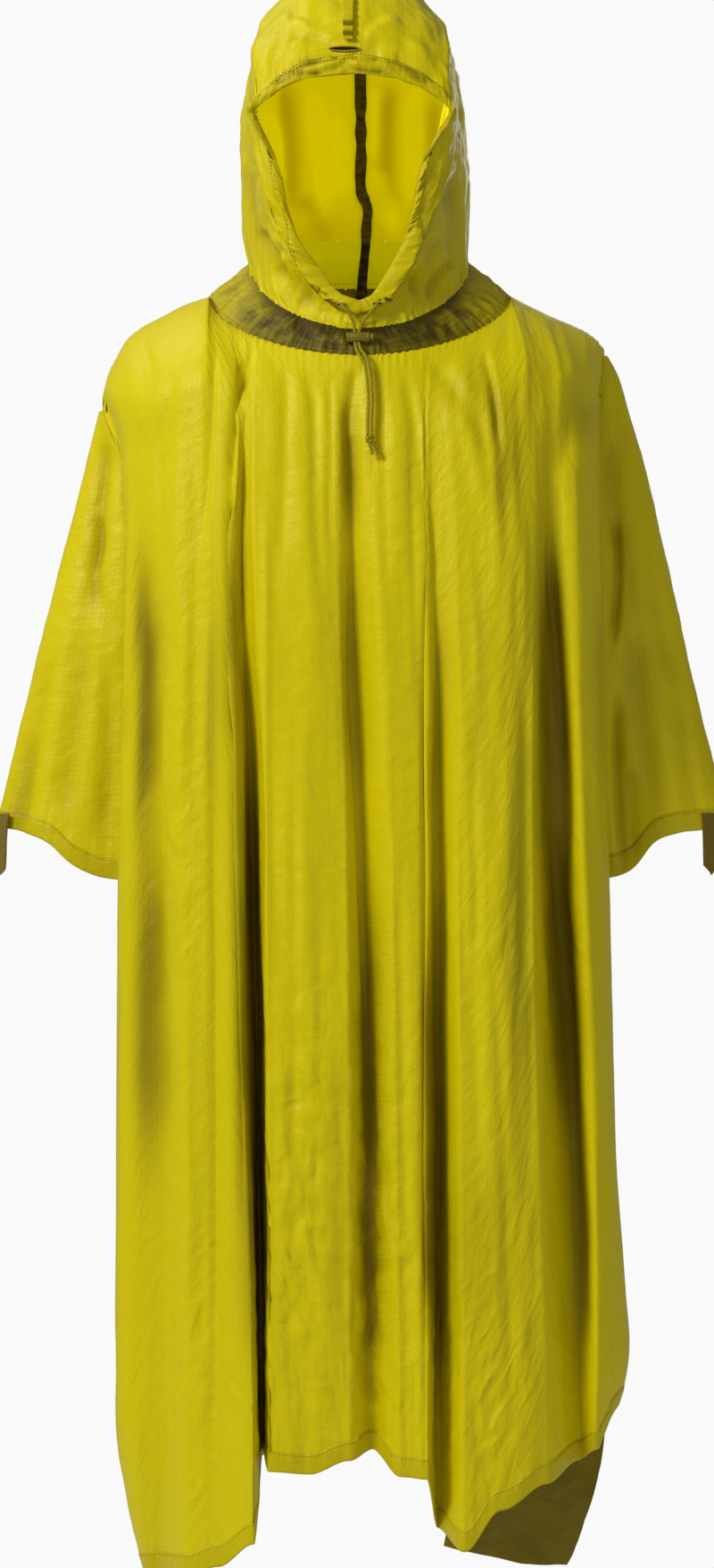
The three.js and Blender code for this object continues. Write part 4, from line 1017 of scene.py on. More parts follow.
# The back is a second length like the front. It hangs from the yoke's back in its own folds.
BACK_FOLDS = [
    (-206, (-190, -190, -194, -196, -197), (-12, -12, -12, -8, -2), -1176),
    (-172, (-154, -154, -158, -162, -166), (16, 15, 12, 8, 3), -1164),
    (-143, (-116, -118, -122, -126, -126), (-24, -22, -14, -6, -1), -1118),
    (-114, (-78, -80, -86, -90, -92), (18, 16, 12, 8, 2), -1110),
    (-62, (-34, -36, -40, -46, -48), (-18, -14, -10, -4, 0), -1092),
    (0, (6, 4, 0, -4, -4), (16, 14, 10, 6, 2), -1096),
    (62, (54, 52, 50, 48, 46), (-26, -20, -12, -4, 0), -1090),
    (114, (98, 96, 92, 88, 86), (20, 17, 12, 7, 2), -1112),
    (143, (142, 138, 134, 128, 126), (-22, -18, -12, -6, -1), -1122),
    (168, (168, 178, 172, 166, 164), (14, 13, 11, 8, 3), -1160),
    (200, (190, 214, 204, 198, 196), (-10, -10, -10, -8, -2), -1178),
]
BACK_CORNERS = (-1184, -1190)
BACK_CREASES = [
    (-122, 20, -126, -380, 3, 8, -5, 1),
    (-124, -330, -118, -1000, -2, 8, -5, 1),
    (-46, 26, -44, -520, 2, 8, -4, -1),
    (-42, -460, -34, -1040, 0, 8, -4, -1),
    (48, 26, 50, -600, -2, 8, -5, 1),
    (50, -520, 54, -1050, 0, 7, -5, 1),
    (128, 18, 130, -420, 4, 9, -4, 0),
    (132, -380, 142, -1050, 0, 8, -4, -1),
    (-190, -60, -196, -600, 3, 9, -4, 0),
    (196, -60, 206, -640, -3, 9, -4, 0),
    (-84, 10, -96, -300, 3, 6, -2.4, 0),
    (-20, 20, -14, -420, 2, 6, -2.4, 0),
    (20, 20, 26, -380, -2, 6, -2.2, 0),
    (86, 10, 104, -340, 3, 6, -2.4, 0),
    (-150, -300, -140, -900, 3, 7, -2.6, 0),
    (-64, -420, -60, -1000, 2, 6, -2.4, 0),
    (0, -520, 10, -1020, -3, 6, -2.4, 0),
    (82, -460, 76, -1040, 2, 6, -2.6, 0),
    (160, -420, 150, -1080, 3, 7, -2.8, 0),
]
BACK_FLUTES = [(2.4, 9, 24, 71), (1.1, 7, 11, 72)]
BACK_CRUMPLE = {"width": 28, "height": 1.9, "from": 500, "grows": 400, "most": 0.35}
BACK_FOLD_SHADE = {"crown": 6, "depth": 42}

back, back_stand = full_panel(BACK_FOLDS, BACK_CORNERS, 1, panel_shares[::2])
back_cloth = cloth_places(back)
run, drop = back_cloth[..., 0] / MM, back_cloth[..., 1] / MM
to_hem = drop[-1:] - drop
free = smooth(drop / 60) * smooth(to_hem / 30 + 0.3)
relief = crease_relief(back[..., 0], back[..., 2], BACK_CREASES) * smooth(drop / 12)
low_down = smooth((drop - BACK_CRUMPLE["from"]) / BACK_CRUMPLE["grows"]) * BACK_CRUMPLE["most"]
crushed = BACK_CRUMPLE["height"] * crumple(run, drop * 0.8, BACK_CRUMPLE["width"], 74)
relief = relief + (flutes(run, drop, BACK_FLUTES) + crushed * low_down) * free
relief = relief + puckers(run, drop, spacing=7.5, reach=13, height=0.9, seed=75)
back = back + surface_normals(back) * relief[..., None]
# Painted shade, deeper with the depth behind the folds' crowns.
back_hollow = smooth((BACK_FOLD_SHADE["crown"] - back_stand - relief) / BACK_FOLD_SHADE["depth"])
back_rows, back_hem_rows = split_hem(back, back_cloth, back_hollow, 1)
back_panel = grid_piece(
    "back_shell",
    back_rows[0],
    back_rows[1],
    SHELL,
    flip=True,
    hollow=back_rows[2],
    crushed=(0.12 + low_down)[: len(back_rows[0])],
)
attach(back_panel, "root")
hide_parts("back_panel")
back_hem = doubled_piece("back_hem_band", *back_hem_rows, 1, "back_hem")
stitch_piece("back_hem_stitches", hem_stitches(back_hem_rows[0], 1))

# Below the arms the sides of front and back are hemmed with the same double band, and the two
# bands meet edge to edge on the middle plane.
SIDE_HEM_ROWS = 150
SIDE_HEM_STEPS = 10
SIDE_HEM_TOP = 38
OPEN_REACH = 17


def side_edge_at(edge, z, side):
    """A panel's outermost points at the given heights on its side fold."""
    tip = {key: SHOULDER[edge][key][-1] for key in ("x", "z", "gap")}
    drop = tip["z"] - z
    over = np.clip(drop / ROUNDED_AT, 0, 1)
    settled = edge * fold_half_width(edge + 0 * z, z)
    x = mixed(edge * tip["x"], settled, smooth(drop / SETTLED_AT))
    depth = mixed(tip["gap"], plain_depth(settled, z, side), np.sqrt(1 - (1 - over) ** 2))
    return np.stack([x, side * depth, z], axis=-1)


def side_hem_surface(edge, side, foot):
    """From the side fold's last column to the middle plane, where the side has closed."""
    z = np.linspace(SIDE_CLOSES[0] - SIDE_HEM_TOP, foot + HEM_WIDTH + 2, SIDE_HEM_ROWS + 1)
    last = np.array([FOLD_STEPS[-1]], float)
    fold = side_fold(side_edge_at(edge, z, side), edge, side, last)[:, 0]
    reach = mixed(OPEN_REACH, np.abs(fold[:, 1]) - 0.4, below_arm(z))
    share = np.linspace(0, 1, SIDE_HEM_STEPS + 1)[None, :]
    x = fold[:, 0, None] + edge * 2 * share
    y = fold[:, 1, None] - side * reach[:, None] * share
    wave = 1.1 * soft_noise(z / 5, 0 * z, 9, 81 + edge + 2 * side)[:, None] * np.sin(np.pi * share)
    points = np.stack([x + edge * wave, y, z[:, None] + 0 * y], axis=-1)
    return points[:, ::-1] if edge * side > 0 else points


for edge in (-1, 1):
    for side, word, corners in ((-1, "front", FRONT_CORNERS), (1, "back", BACK_CORNERS)):
        points = side_hem_surface(edge, side, corners[(edge + 1) // 2])
        name = f"{word}_side_hem"
        hollow = 0.1 + 0 * points[..., 0]
        node = f"{name}_{SIDES[edge]}"
        band_name = f"{word}_side_band_{SIDES[edge]}"
        doubled_piece(band_name, points, cloth_places(points), hollow, -1, node)

# The cloth that hangs over each arm. It starts under the side folds, runs out along the arm and
# round its outer edge, and is open at the foot, with a stitched hem.
ARM_LINE = {
    "z": [-40, -60, -89, -143, -231, -545],
    -1: [236, 240, 246, 259, 281, 359],
    1: [233, 244, 253, 269, 290, 366],
}
ARM_STEPS = [0, 1, 2, 3, 4]
ARM_TURN = {"inward": [0, 5, 7.5, 5, 0], "behind": [0, 1.5, 6, 11, 14], "seam": [1, 1, 1, 1, 0]}
ARM_SEAM = 3.4
ARM_START = {-1: 15, 1: 6}
ARM_FOOT = {
    "round": [0, 0.45, 0.6, 0.72, 0.82, 1],
    -1: [-494, -500, -510, -529, -539, -545],
    1: [-496, -497, -500, -509, -532, -545],
}
ARM_HEM_SHARE = HEM_WIDTH / 430
ARM_ROWS = 170
ARM_TURN_COLUMNS = 10
ARM_COLUMNS = 150
ARM_CREASES = {
    -1: [
        (-246, -196, -252, -262, 6, 10, -2.2, 1),
        (-250, -250, -222, -318, -6, 9, -2.2, 0),
        (-238, -110, -262, -330, 4, 10, -3, 0),
        (-262, -300, -286, -500, 3, 12, -4, 0),
        (-236, -330, -244, -520, 3, 10, -3.5, 0),
        (-292, -330, -318, -520, -4, 12, -3, 0),
        (-312, -400, -338, -520, 3, 10, -2.5, 0),
    ],
    1: [
        (238, -120, 262, -300, -4, 9, -3.5, 0),
        (246, -196, 240, -330, 5, 9, -3.5, 1),
        (262, -300, 282, -500, -4, 12, -4, 0),
        (240, -360, 246, -540, -3, 9, -3.5, -1),
        (288, -300, 318, -500, 4, 12, -3.5, 0),
        (306, -240, 346, -490, -3, 10, -3, 0),
        (254, -430, 258, -530, 2, 7, -3, 0),
    ],
}


def arm_surface(edge, share):
    """Plan of the arm cloth at each height: four steps of turn inside the front's side fold,
    half an oval out to the arm line and back, and the same turn inside the back's side fold."""
    q = np.linspace(-1, 1, ARM_COLUMNS + 1)
    k = np.linspace(0, ARM_STEPS[-1], ARM_TURN_COLUMNS + 1)[:-1]
    q_all = np.concatenate([-np.ones(len(k)), q, np.ones(len(k))])[None, :]
    foot = through(ARM_FOOT["round"], ARM_FOOT[edge], np.abs(q_all))
    start = SHOULDER[edge]["z"][-1] - ARM_START[edge]
    z = mixed(start, foot, share[:, None])
    columns = []
    for side, part in ((-1, slice(0, len(k))), (1, slice(len(k) + len(q), None))):
        at = z[:, part]
        steps = (k if side < 0 else k[::-1])[None, :]
        third = side_fold(side_edge_at(edge, at.ravel(), side), edge, side, np.array([3.0]))
        fold = third[:, 0].reshape(*at.shape, 3)
        growth = fold_growth(edge, at)
        inward = ARM_SEAM * through(ARM_STEPS, ARM_TURN["seam"], steps)
        inward = inward + through(ARM_STEPS, ARM_TURN["inward"], steps) * growth
        behind = through(ARM_STEPS, ARM_TURN["behind"], steps) * growth
        columns.append(
            np.stack([fold[..., 0] - edge * inward, fold[..., 1] - side * behind, at], axis=-1)
        )
    at = z[:, len(k) : len(k) + len(q)]
    near = np.where(q[None, :] < 0, -1, 1) * np.ones_like(at)
    ends = {}
    for side in (-1, 1):
        third = side_fold(side_edge_at(edge, at.ravel(), side), edge, side, np.array([3.0]))
        ends[side] = third[:, 0].reshape(*at.shape, 3)
    fold = np.where((near < 0)[..., None], ends[-1], ends[1])
    half = np.abs(fold[..., 1]) - 14 * fold_growth(edge, at)
    angle = q[None, :] * np.pi / 2
    reach = edge * through(ARM_LINE["z"], ARM_LINE[edge], at)
    middle = np.stack([mixed(fold[..., 0], reach, np.cos(angle)), half * np.sin(angle), at], axis=-1)
    return np.concatenate([columns[0], middle, columns[1]], axis=1)


arm_shares = np.concatenate(
    [row_shares(ARM_ROWS, 1 - ARM_HEM_SHARE), np.linspace(1 - ARM_HEM_SHARE, 1, HEM_ROWS + 1)[1:]]
)
for edge in (-1, 1):
    arm = arm_surface(edge, arm_shares)
    arm_cloth = cloth_places(arm)
    run, drop = arm_cloth[..., 0] / MM, arm_cloth[..., 1] / MM
    to_hem = drop[-1:] - drop
    free = smooth(drop / 50)
    relief = crease_relief(arm[..., 0], arm[..., 2], ARM_CREASES[edge])
    waves = flutes(run, drop, [(2.6, 7, 30, 91 + edge), (1.0, 5, 12, 94 + edge)])
    relief = (relief + waves + 0.5 * crumple(run, drop * 0.8, 26, 97 + edge)) * free
    from_hem_seam = np.abs(to_hem - HEM_WIDTH)
    relief = relief + puckers(run, from_hem_seam, spacing=8, reach=10, height=0.8, seed=101 + edge)
    arm = arm - edge * surface_normals(arm) * relief[..., None]
    # Painted shade in the arm's creases and troughs.
    arm_hollow = smooth((4 - relief) / 14) * 0.6
    rows, hem_rows = split_hem(arm, arm_cloth, arm_hollow, -edge)
    word = SIDES[edge]
    piece = grid_piece(f"arm_shell_{word}", rows[0], rows[1], SHELL, flip=edge < 0, hollow=rows[2])
    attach(piece, "root")
    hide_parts(f"arm_cloth_{word}")
    band = doubled_piece(f"arm_hem_band_{word}", *hem_rows, -edge, f"arm_hem_{word}")
    stitch_piece(f"arm_hem_stitches_{word}", hem_stitches(hem_rows[0], -edge))

# A short tab of flat webbing is sewn on each arm's hem, for tying the sides down. Its upper end
# is caught under the hem's stitches; the left one's end is round and the right one's pointed.
TAB = {"half": 8.5, "wall": 2, "length": 50, "lean": 0.1}
TAB_PLACE = {-1: {"q": -0.2, "clear": 1.3}, 1: {"q": -0.36, "clear": 0.8}}
TAB_TOP_SHARE = 0.965
TAB_ROWS = 90
TAB_COLUMNS = 24


def webbing():
    """Woven polyester webbing: ribs across it, a twill slant along them, matt and brownish."""
    finish = Finish("webbing", Roughness=0.85, Specular_IOR_Level=0.25, Sheen_Weight=0.15)
    flat = finish.node("ShaderNodeUVMap", {"uv_map": "cloth"})
    across = finish.node("ShaderNodeSeparateXYZ", None, {0: flat}, 0)
    down = finish.node("ShaderNodeSeparateXYZ", None, {0: flat}, 1)
    ribs = ((across + down * 0.35) * 4200.0).maths("SINE", (across + down * 0.35) * 4200.0)
    rows = (down * 5200.0).maths("SINE", down * 5200.0)
    yarn = (ribs * 0.5 + rows * 0.5).between(-0.9, 0.9)
    worn = finish.node("ShaderNodeTexNoise", None, {"Vector": flat, "Scale": 160.0, "Detail": 4.0})
    # The ribs' grooves are painted darker as shade and their crests lighter, over random worn tone.
    shade = yarn * 0.7 + worn * 0.3
    finish.feed(
        Base_Color=finish.colour_mix(shade, rgb(92, 74, 12), rgb(146, 122, 28)),
        Normal=finish.bump(yarn, 0.00025),
    )
    return finish


def tab_outline(row, pointed):
    """Half width of the tab down its length: full to its end, then a half circle or a point."""
    end = TAB["half"]
    past = np.clip((row - TAB["length"]) / end, 0, 1)
    taper = 1 - past if pointed else np.sqrt(np.maximum(1 - past**2, 0))
    return TAB["half"] * np.maximum(taper, 0.03)


WEBBING = webbing()
for edge in (-1, 1):
    place = TAB_PLACE[edge]
    columns = np.linspace(-1, 1, ARM_COLUMNS + 1)
    arc = arm_surface(edge, np.array([TAB_TOP_SHARE]))[0, ARM_TURN_COLUMNS:-ARM_TURN_COLUMNS]
    middle = through(columns, arc, np.array([place["q"]]))[0]
    near = through(columns, arc, np.array([place["q"] - 0.05, place["q"] + 0.05]))
    across = (near[1] - near[0]) * (1, 1, 0)
    across = unit(across) * -edge
    out = np.cross(across, (0, 0, -1))
    end = TAB["length"] + TAB["half"]
    row = np.linspace(0, end, TAB_ROWS + 1)[:, None]
    share = np.linspace(-1, 1, TAB_COLUMNS + 1)[None, :]
    width = tab_outline(row, edge > 0) * share
    lift = place["clear"] + TAB["wall"] + TAB["lean"] * row + 0.8 * np.sin(row / 11)
    lift = lift - 0.5 * share**8 + 0 * width
    points = middle + across * -width[..., None] + out * lift[..., None]
    points = points - np.array([0, 0, 1]) * (row + 0 * width)[..., None]
    flat = np.stack([width + 0 * row, row + 0 * width], axis=-1) * MM
    word = SIDES[edge]
    tab = grid_piece(f"tab_{word}", points, flat, WEBBING)
    thicken(tab, TAB["wall"])
    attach(tab, "root")
    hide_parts(f"arm_tab_{word}")

# The yoke is a ring of doubled ripstop round the neck. The body is gathered into its outer edge
# and the hood into its inner one, so it is full of tiny puckers along both seams.
NECK = {"half": 103, "front": 112, "back": 80, "centre_y": -8, "front_z": -30, "rise": 158, "sag": 58}
YOKE_COLUMNS = 900
YOKE_ROWS = 26
YOKE_STITCH_ROW = 23
YOKE_SWELL = 2.5
# How much painted shade darkens the yoke in its puckers, at the front under the hood's lower round,
# and along the neck seam, within a reach in millimetres.
YOKE_SHADE = {"puckers": 0.55, "front": 0.6, "neck": 0.45, "reach": 9}
# The painted glow of daylight through the yoke at its front and back, and its share at the body seam.
YOKE_DAYLIGHT = {"front": 0.3, "back": 1.0, "at_body": 0.6}


def neck_seam(turn):
    """Seam of yoke and hood: an oval that rises from the front to the back on a parabola."""
    share = (1 - np.cos(turn)) / 2
    reach = np.where(np.cos(turn) > 0, NECK["front"], NECK["back"])
    x = NECK["half"] * np.sin(turn)
    y = NECK["centre_y"] - reach * np.cos(turn)
    return np.stack([x, y, NECK["front_z"] + NECK["rise"] * share - NECK["sag"] * share**2], axis=-1)


def yoke_surface(turn, share):
    """From the neck seam (share 0) to the body seam (share 1), swollen a little between them."""
    front = yoke_seam(turn, -1)
    back = yoke_seam(np.pi - turn, 1)
    outer = np.where((np.cos(turn) > 0)[..., None], front, back)
    inner = neck_seam(turn)
    out = unit(np.stack([np.sin(turn), -np.cos(turn), 0.8 + 0 * turn], axis=-1))
    swell = YOKE_SWELL * np.sin(np.pi * share)[:, None, None] * out[None]
    return mixed(inner[None], outer[None], share[:, None, None]) + swell


turn = np.linspace(0, 2 * np.pi, YOKE_COLUMNS, endpoint=False)
share = np.linspace(-0.02, 1.03, YOKE_ROWS + 1)
yoke = yoke_surface(turn, share)
round_yoke = lengths(np.concatenate([yoke[-1], yoke[-1, :1]]))
down_yoke = lengths(yoke)
down_yoke = np.concatenate([down_yoke, down_yoke[:, :1]], axis=1)
yoke_cloth = np.stack([np.broadcast_to(round_yoke, down_yoke.shape), down_yoke], axis=-1) * MM
run = round_yoke[:-1][None, :] + 0 * share[:, None]
from_neck = down_yoke[:, :-1]
to_body = down_yoke[-1:, :-1] - from_neck
middle_of_yoke = np.sin(np.pi * np.clip(share, 0, 1))[:, None]
gathers = smooth(0.5 + soft_noise(run, 0 * run, 24, 115))
relief = puckers(run, to_body, spacing=6.5, reach=8, height=1.3, seed=111) * gathers
relief = relief + puckers(run, to_body, spacing=10.5, reach=16, height=1.2, seed=116)
relief = relief + puckers(run, from_neck, spacing=8.5, reach=8, height=1.2, seed=112) * (1 - gathers)
relief = relief + 1.6 * soft_noise(run, from_neck / 2.5, 9, 113) * middle_of_yoke
relief = relief + 1.6 * crumple(run, from_neck, 18, 114) * middle_of_yoke
yoke_out = -surface_normals(yoke, closed=True)
yoke = yoke + yoke_out * (relief + 0.6)[..., None]
# Painted shade of the yoke: at its front under the hood, along the neck seam, and in its puckers.
at_front = smooth(np.cos(turn) * 1.5 - 0.3)[None, :]
in_shade = YOKE_SHADE["front"] * at_front + YOKE_SHADE["neck"] * np.exp(-from_neck / YOKE_SHADE["reach"])
yoke_hollow = np.clip(smooth((2 - relief) / 6) * YOKE_SHADE["puckers"] + in_shade, 0, 1)
at_back = smooth(0.5 - np.cos(turn))[None, :]
yoke_daylight = mixed(YOKE_DAYLIGHT["front"], YOKE_DAYLIGHT["back"], at_back)
yoke_daylight = yoke_daylight * mixed(1, YOKE_DAYLIGHT["at_body"], np.clip(share, 0, 1)[:, None] ** 2)
# The yoke's yellows are painted darker than the cloth's, as shade under the hood, with its painted shade
# colour for the puckers.
YOKE_CLOTH = coated_ripstop(
    "yoke_ripstop", rgb(196, 180, 2), rgb(66, 54, 4), YELLOW_LIT, 0.52, through=rgb(146, 142, 0)
)
yoke_piece = grid_piece(
    "yoke_ring",
    yoke,
    yoke_cloth,
    YOKE_CLOTH,
    closed=True,
    hollow=yoke_hollow,
    daylight=yoke_daylight,
)
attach(yoke_piece, "root")
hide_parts("yoke")
closed_row = np.concatenate([yoke[YOKE_STITCH_ROW], yoke[YOKE_STITCH_ROW, :1]])
closed_out = np.concatenate([yoke_out[YOKE_STITCH_ROW], yoke_out[YOKE_STITCH_ROW, :1]])
stitch_piece("yoke_stitches", [(closed_row, closed_out)])

# The hood is cut in a left and a right side that are sewn together over the crown. It stands
# on the neck seam, reaches forward round the face and droops a little under the chin.
# The opening's tables: height and half width of each side at shares of the way up. The rings'
# tables: their far point over the crown, the half width of each side, and how far they lean.
FACE_EDGE = {
    "share": [0, 0.08, 0.15, 0.25, 0.35, 0.45, 0.55, 0.64, 0.7, 0.76, 0.82, 0.86, 0.9, 0.94, 0.97, 1],
    "z": [-4, 0, 9, 24, 40, 56, 82, 107, 125, 143, 160, 170, 180, 193, 202, 206],
    "left": [0, 15, 26, 35, 48, 58, 67, 71, 78, 89, 98, 100, 90, 72, 50, 0],
    "right": [0, 10, 17, 26, 35, 42, 49, 53, 59, 70, 83, 86, 78, 58, 34, 0],
}
FACE_PLANE = {"chin_y": -126, "brow_y": -128, "set_back": 14}
HOOD_RINGS = {
    "share": [0, 0.1, 0.22, 0.36, 0.5, 0.64, 0.78, 0.9, 1],
    "y": [-128, -112, -76, -18, 48, 104, 124, 104, 72],
    "z": [206, 249, 291, 318, 306, 254, 188, 122, 70],
    -1: [98, 101, 107, 111, 113, 113, 112, 108, 103],
    1: [92, 94, 98, 101, 103, 103, 103, 101, 101],
    "skew": [0.8, 0.62, 0.44, 0.3, 0.2, 0.14, 0.08, 0.03, 0],
}
# The tunnel's width at places round the face, in half turns from the chin, right side positive.
TUNNEL_WIDTH = [
    (-1, 20), (-0.88, 18), (-0.8, 13), (-0.755, 9), (-0.7, 13), (-0.62, 17), (-0.56, 14),
    (-0.52, 8), (-0.46, 8), (-0.4, 12), (-0.32, 17), (-0.2, 15), (0, 15), (0.2, 15), (0.32, 17),
    (0.42, 14), (0.48, 10), (0.52, 8), (0.56, 11), (0.6, 9), (0.66, 13), (0.735, 10), (0.8, 14),
    (0.9, 18), (1, 20),
]
# Gathers that the crown's cord pulls into the brim on both sides of its slot.
BRIM_FOLDS = [
    (-16, 223, -52, 219, 3, 2.6, -2.4, 0),
    (-15, 219, -58, 211, 3, 2.4, 2.4, 0),
    (-14, 214, -48, 206, 2, 2.4, -2.2, 0),
    (-12, 210, -34, 203, 2, 2.2, 1.8, 0),
    (-10, 223, 22, 221, -3, 2.6, -2.4, 0),
    (-10, 218, 34, 213, -3, 2.4, 2.4, 0),
    (-11, 214, 26, 208, -2, 2.4, -2.2, 0),
    (-20, 240, -62, 262, 4, 5, 2.2, 0),
    (-22, 236, -72, 240, -4, 5, -2.4, 0),
    (-30, 256, -70, 276, 3, 5, -2, 0),
    (4, 238, 40, 260, 4, 5, 2.2, 0),
    (6, 232, 52, 232, 3, 5, -1.8, 0),
    (30, 226, 76, 196, -4, 6, -2, 0),
    (-40, 222, -84, 196, 4, 6, -2, 0),
]
HOOD_ROWS = 150
HOOD_COLUMNS = 200
# Just behind the face the hood flares out, by a height that changes from the chin up to the brim,
# between two shares of the way back. Over its crown each side narrows by a share of its width.
FLARE = {"up": [0, 0.3, 0.6, 0.75, 0.85, 1], "height": [9, 13, 11, 4, 2, 6], "rises": 0.08, "falls": 0.42}
CROWN_TAPER = {-1: 0.06, 1: 0.13}


def face_edge(turn):
    """Edge of the face opening, from the chin (0) up its right side to the brim (pi) and down
    its left side: its share of the height is half of 1 less the cosine of the turn."""
    share = (1 - np.cos(turn)) / 2
    sine = np.sin(turn)
    left, right = (np.interp(share, FACE_EDGE["share"], FACE_EDGE[word]) for word in ("left", "right"))
    y = mixed(FACE_PLANE["chin_y"], FACE_PLANE["brow_y"], share)
    y = y + FACE_PLANE["set_back"] * np.sin(np.pi * share)
    z = np.interp(share, FACE_EDGE["share"], FACE_EDGE["z"])
    return np.stack([np.sign(sine) * np.where(sine < 0, left, right), y, z], axis=-1)


def hood_ring(turn, share):
    """Plain ring of the hood: it leans back from the chin to its far point over the crown, and
    narrows towards the crown."""
    up = (1 - np.cos(turn)) / 2
    value = {
        key: through(HOOD_RINGS["share"], HOOD_RINGS[key], share) for key in ("y", "z", -1, 1, "skew")
    }
    neck = neck_seam(np.zeros(1))[0]
    near_y = mixed(FACE_PLANE["chin_y"], neck[1], share)
    near_z = mixed(FACE_EDGE["z"][0], neck[2], share)
    lean = turn - value["skew"] * np.sin(turn)
    taper = smooth((up - 0.58) / 0.42)
    left, right = (value[edge] * (1 - CROWN_TAPER[edge] * taper) for edge in (-1, 1))
    x = np.where(np.sin(turn) < 0, left, right) * np.sin(lean)
    return np.stack([x, mixed(near_y, value["y"], up), mixed(near_z, value["z"], up)], axis=-1)


def hood_surface(turn, share):
    """Hood at a turn round the face and a share of the way from the face to the neck: the plain
    ring, drawn to the face's own edge and to the neck seam near its two ends, and flared round
    the face, where the tunnel turns its flat side forward."""
    to_face = face_edge(turn) - hood_ring(turn, 0 * share)
    to_neck = neck_seam(turn) - hood_ring(turn, 0 * share + 1)
    pull_face = ((1 - share) ** 3)[..., None]
    pull_neck = (share**3)[..., None]
    up = (1 - np.cos(turn)) / 2
    flare = smooth(share / FLARE["rises"]) * (1 - smooth(share / FLARE["falls"]))
    flare = flare * through(FLARE["up"], FLARE["height"], up)
    away = np.stack([np.sin(turn), 0 * turn, -np.cos(turn)], axis=-1)
    plain = hood_ring(turn, share) + to_face * pull_face + to_neck * pull_neck
    return plain + away * flare[..., None]


def hood_length(turn):
    """Length of cloth from the face to the neck at each turn."""
    share = np.linspace(0, 1, 41)[:, None] + 0 * turn[None, :]
    return lengths(hood_surface(turn[None, :] + 0 * share, share))[-1]


def tunnel_width(turn):
    """Width of the face tunnel at a turn round the face."""
    place = (turn / np.pi + 1) % 2 - 1
    places, widths = np.array(TUNNEL_WIDTH, float).T
    return np.interp(place, places, widths)


HOOD_CREASES = {
    -1: [
        (-118, 130, -112, 20, 6, 10, -4, 0),
        (-104, 150, -88, -2, -5, 9, -3, 0),
        (-60, 0, -20, -24, 5, 7, -3, 0),
        (-84, 30, -46, -10, 6, 8, -3.2, 0),
        (-96, 70, -70, 16, 5, 8, -3, 1),
        (-110, 240, -108, 120, 5, 10, -3, 0),
    ],
    1: [
        (100, 150, 88, 30, -5, 9, -4, 0),
        (88, 120, 60, 30, -6, 9, -3.5, 0),
        (84, 60, 50, -4, -6, 8, -3.5, 0),
        (60, 20, 26, -24, -4, 7, -3, 0),
        (96, 40, 66, -6, -5, 8, -3.2, 1),
        (104, 240, 98, 120, -5, 10, -3, 0),
    ],
}
# Folds of the hood's back, which show through the face opening.
HOOD_BACK_CREASES = {
    -1: [
        (-72, 235, -66, 90, 3, 9, 4.5, 0),
        (-48, 225, -36, 80, 6, 8, -4.5, 0),
        (-22, 200, -16, 110, 3, 7, -3, 0),
        (-58, 120, -30, 60, 5, 9, 3, 0),
        (-88, 200, -84, 60, 3, 9, -4, 0),
    ],
    1: [
        (30, 235, 32, 90, -6, 10, 4.5, 0),
        (54, 225, 50, 100, 3, 8, -4.5, 0),
        (16, 150, 34, 60, 4, 8, -3, 0),
        (72, 220, 70, 80, -3, 9, 4, 0),
        (14, 225, 12, 150, 2, 6, -2.5, 0),
    ],
}
HOOD_SHELL = coated_ripstop(
    "hood_ripstop", YELLOW_LIT, YELLOW_PAINTED_SHADE, YELLOW_LIT, through=rgb(146, 142, 0)
)
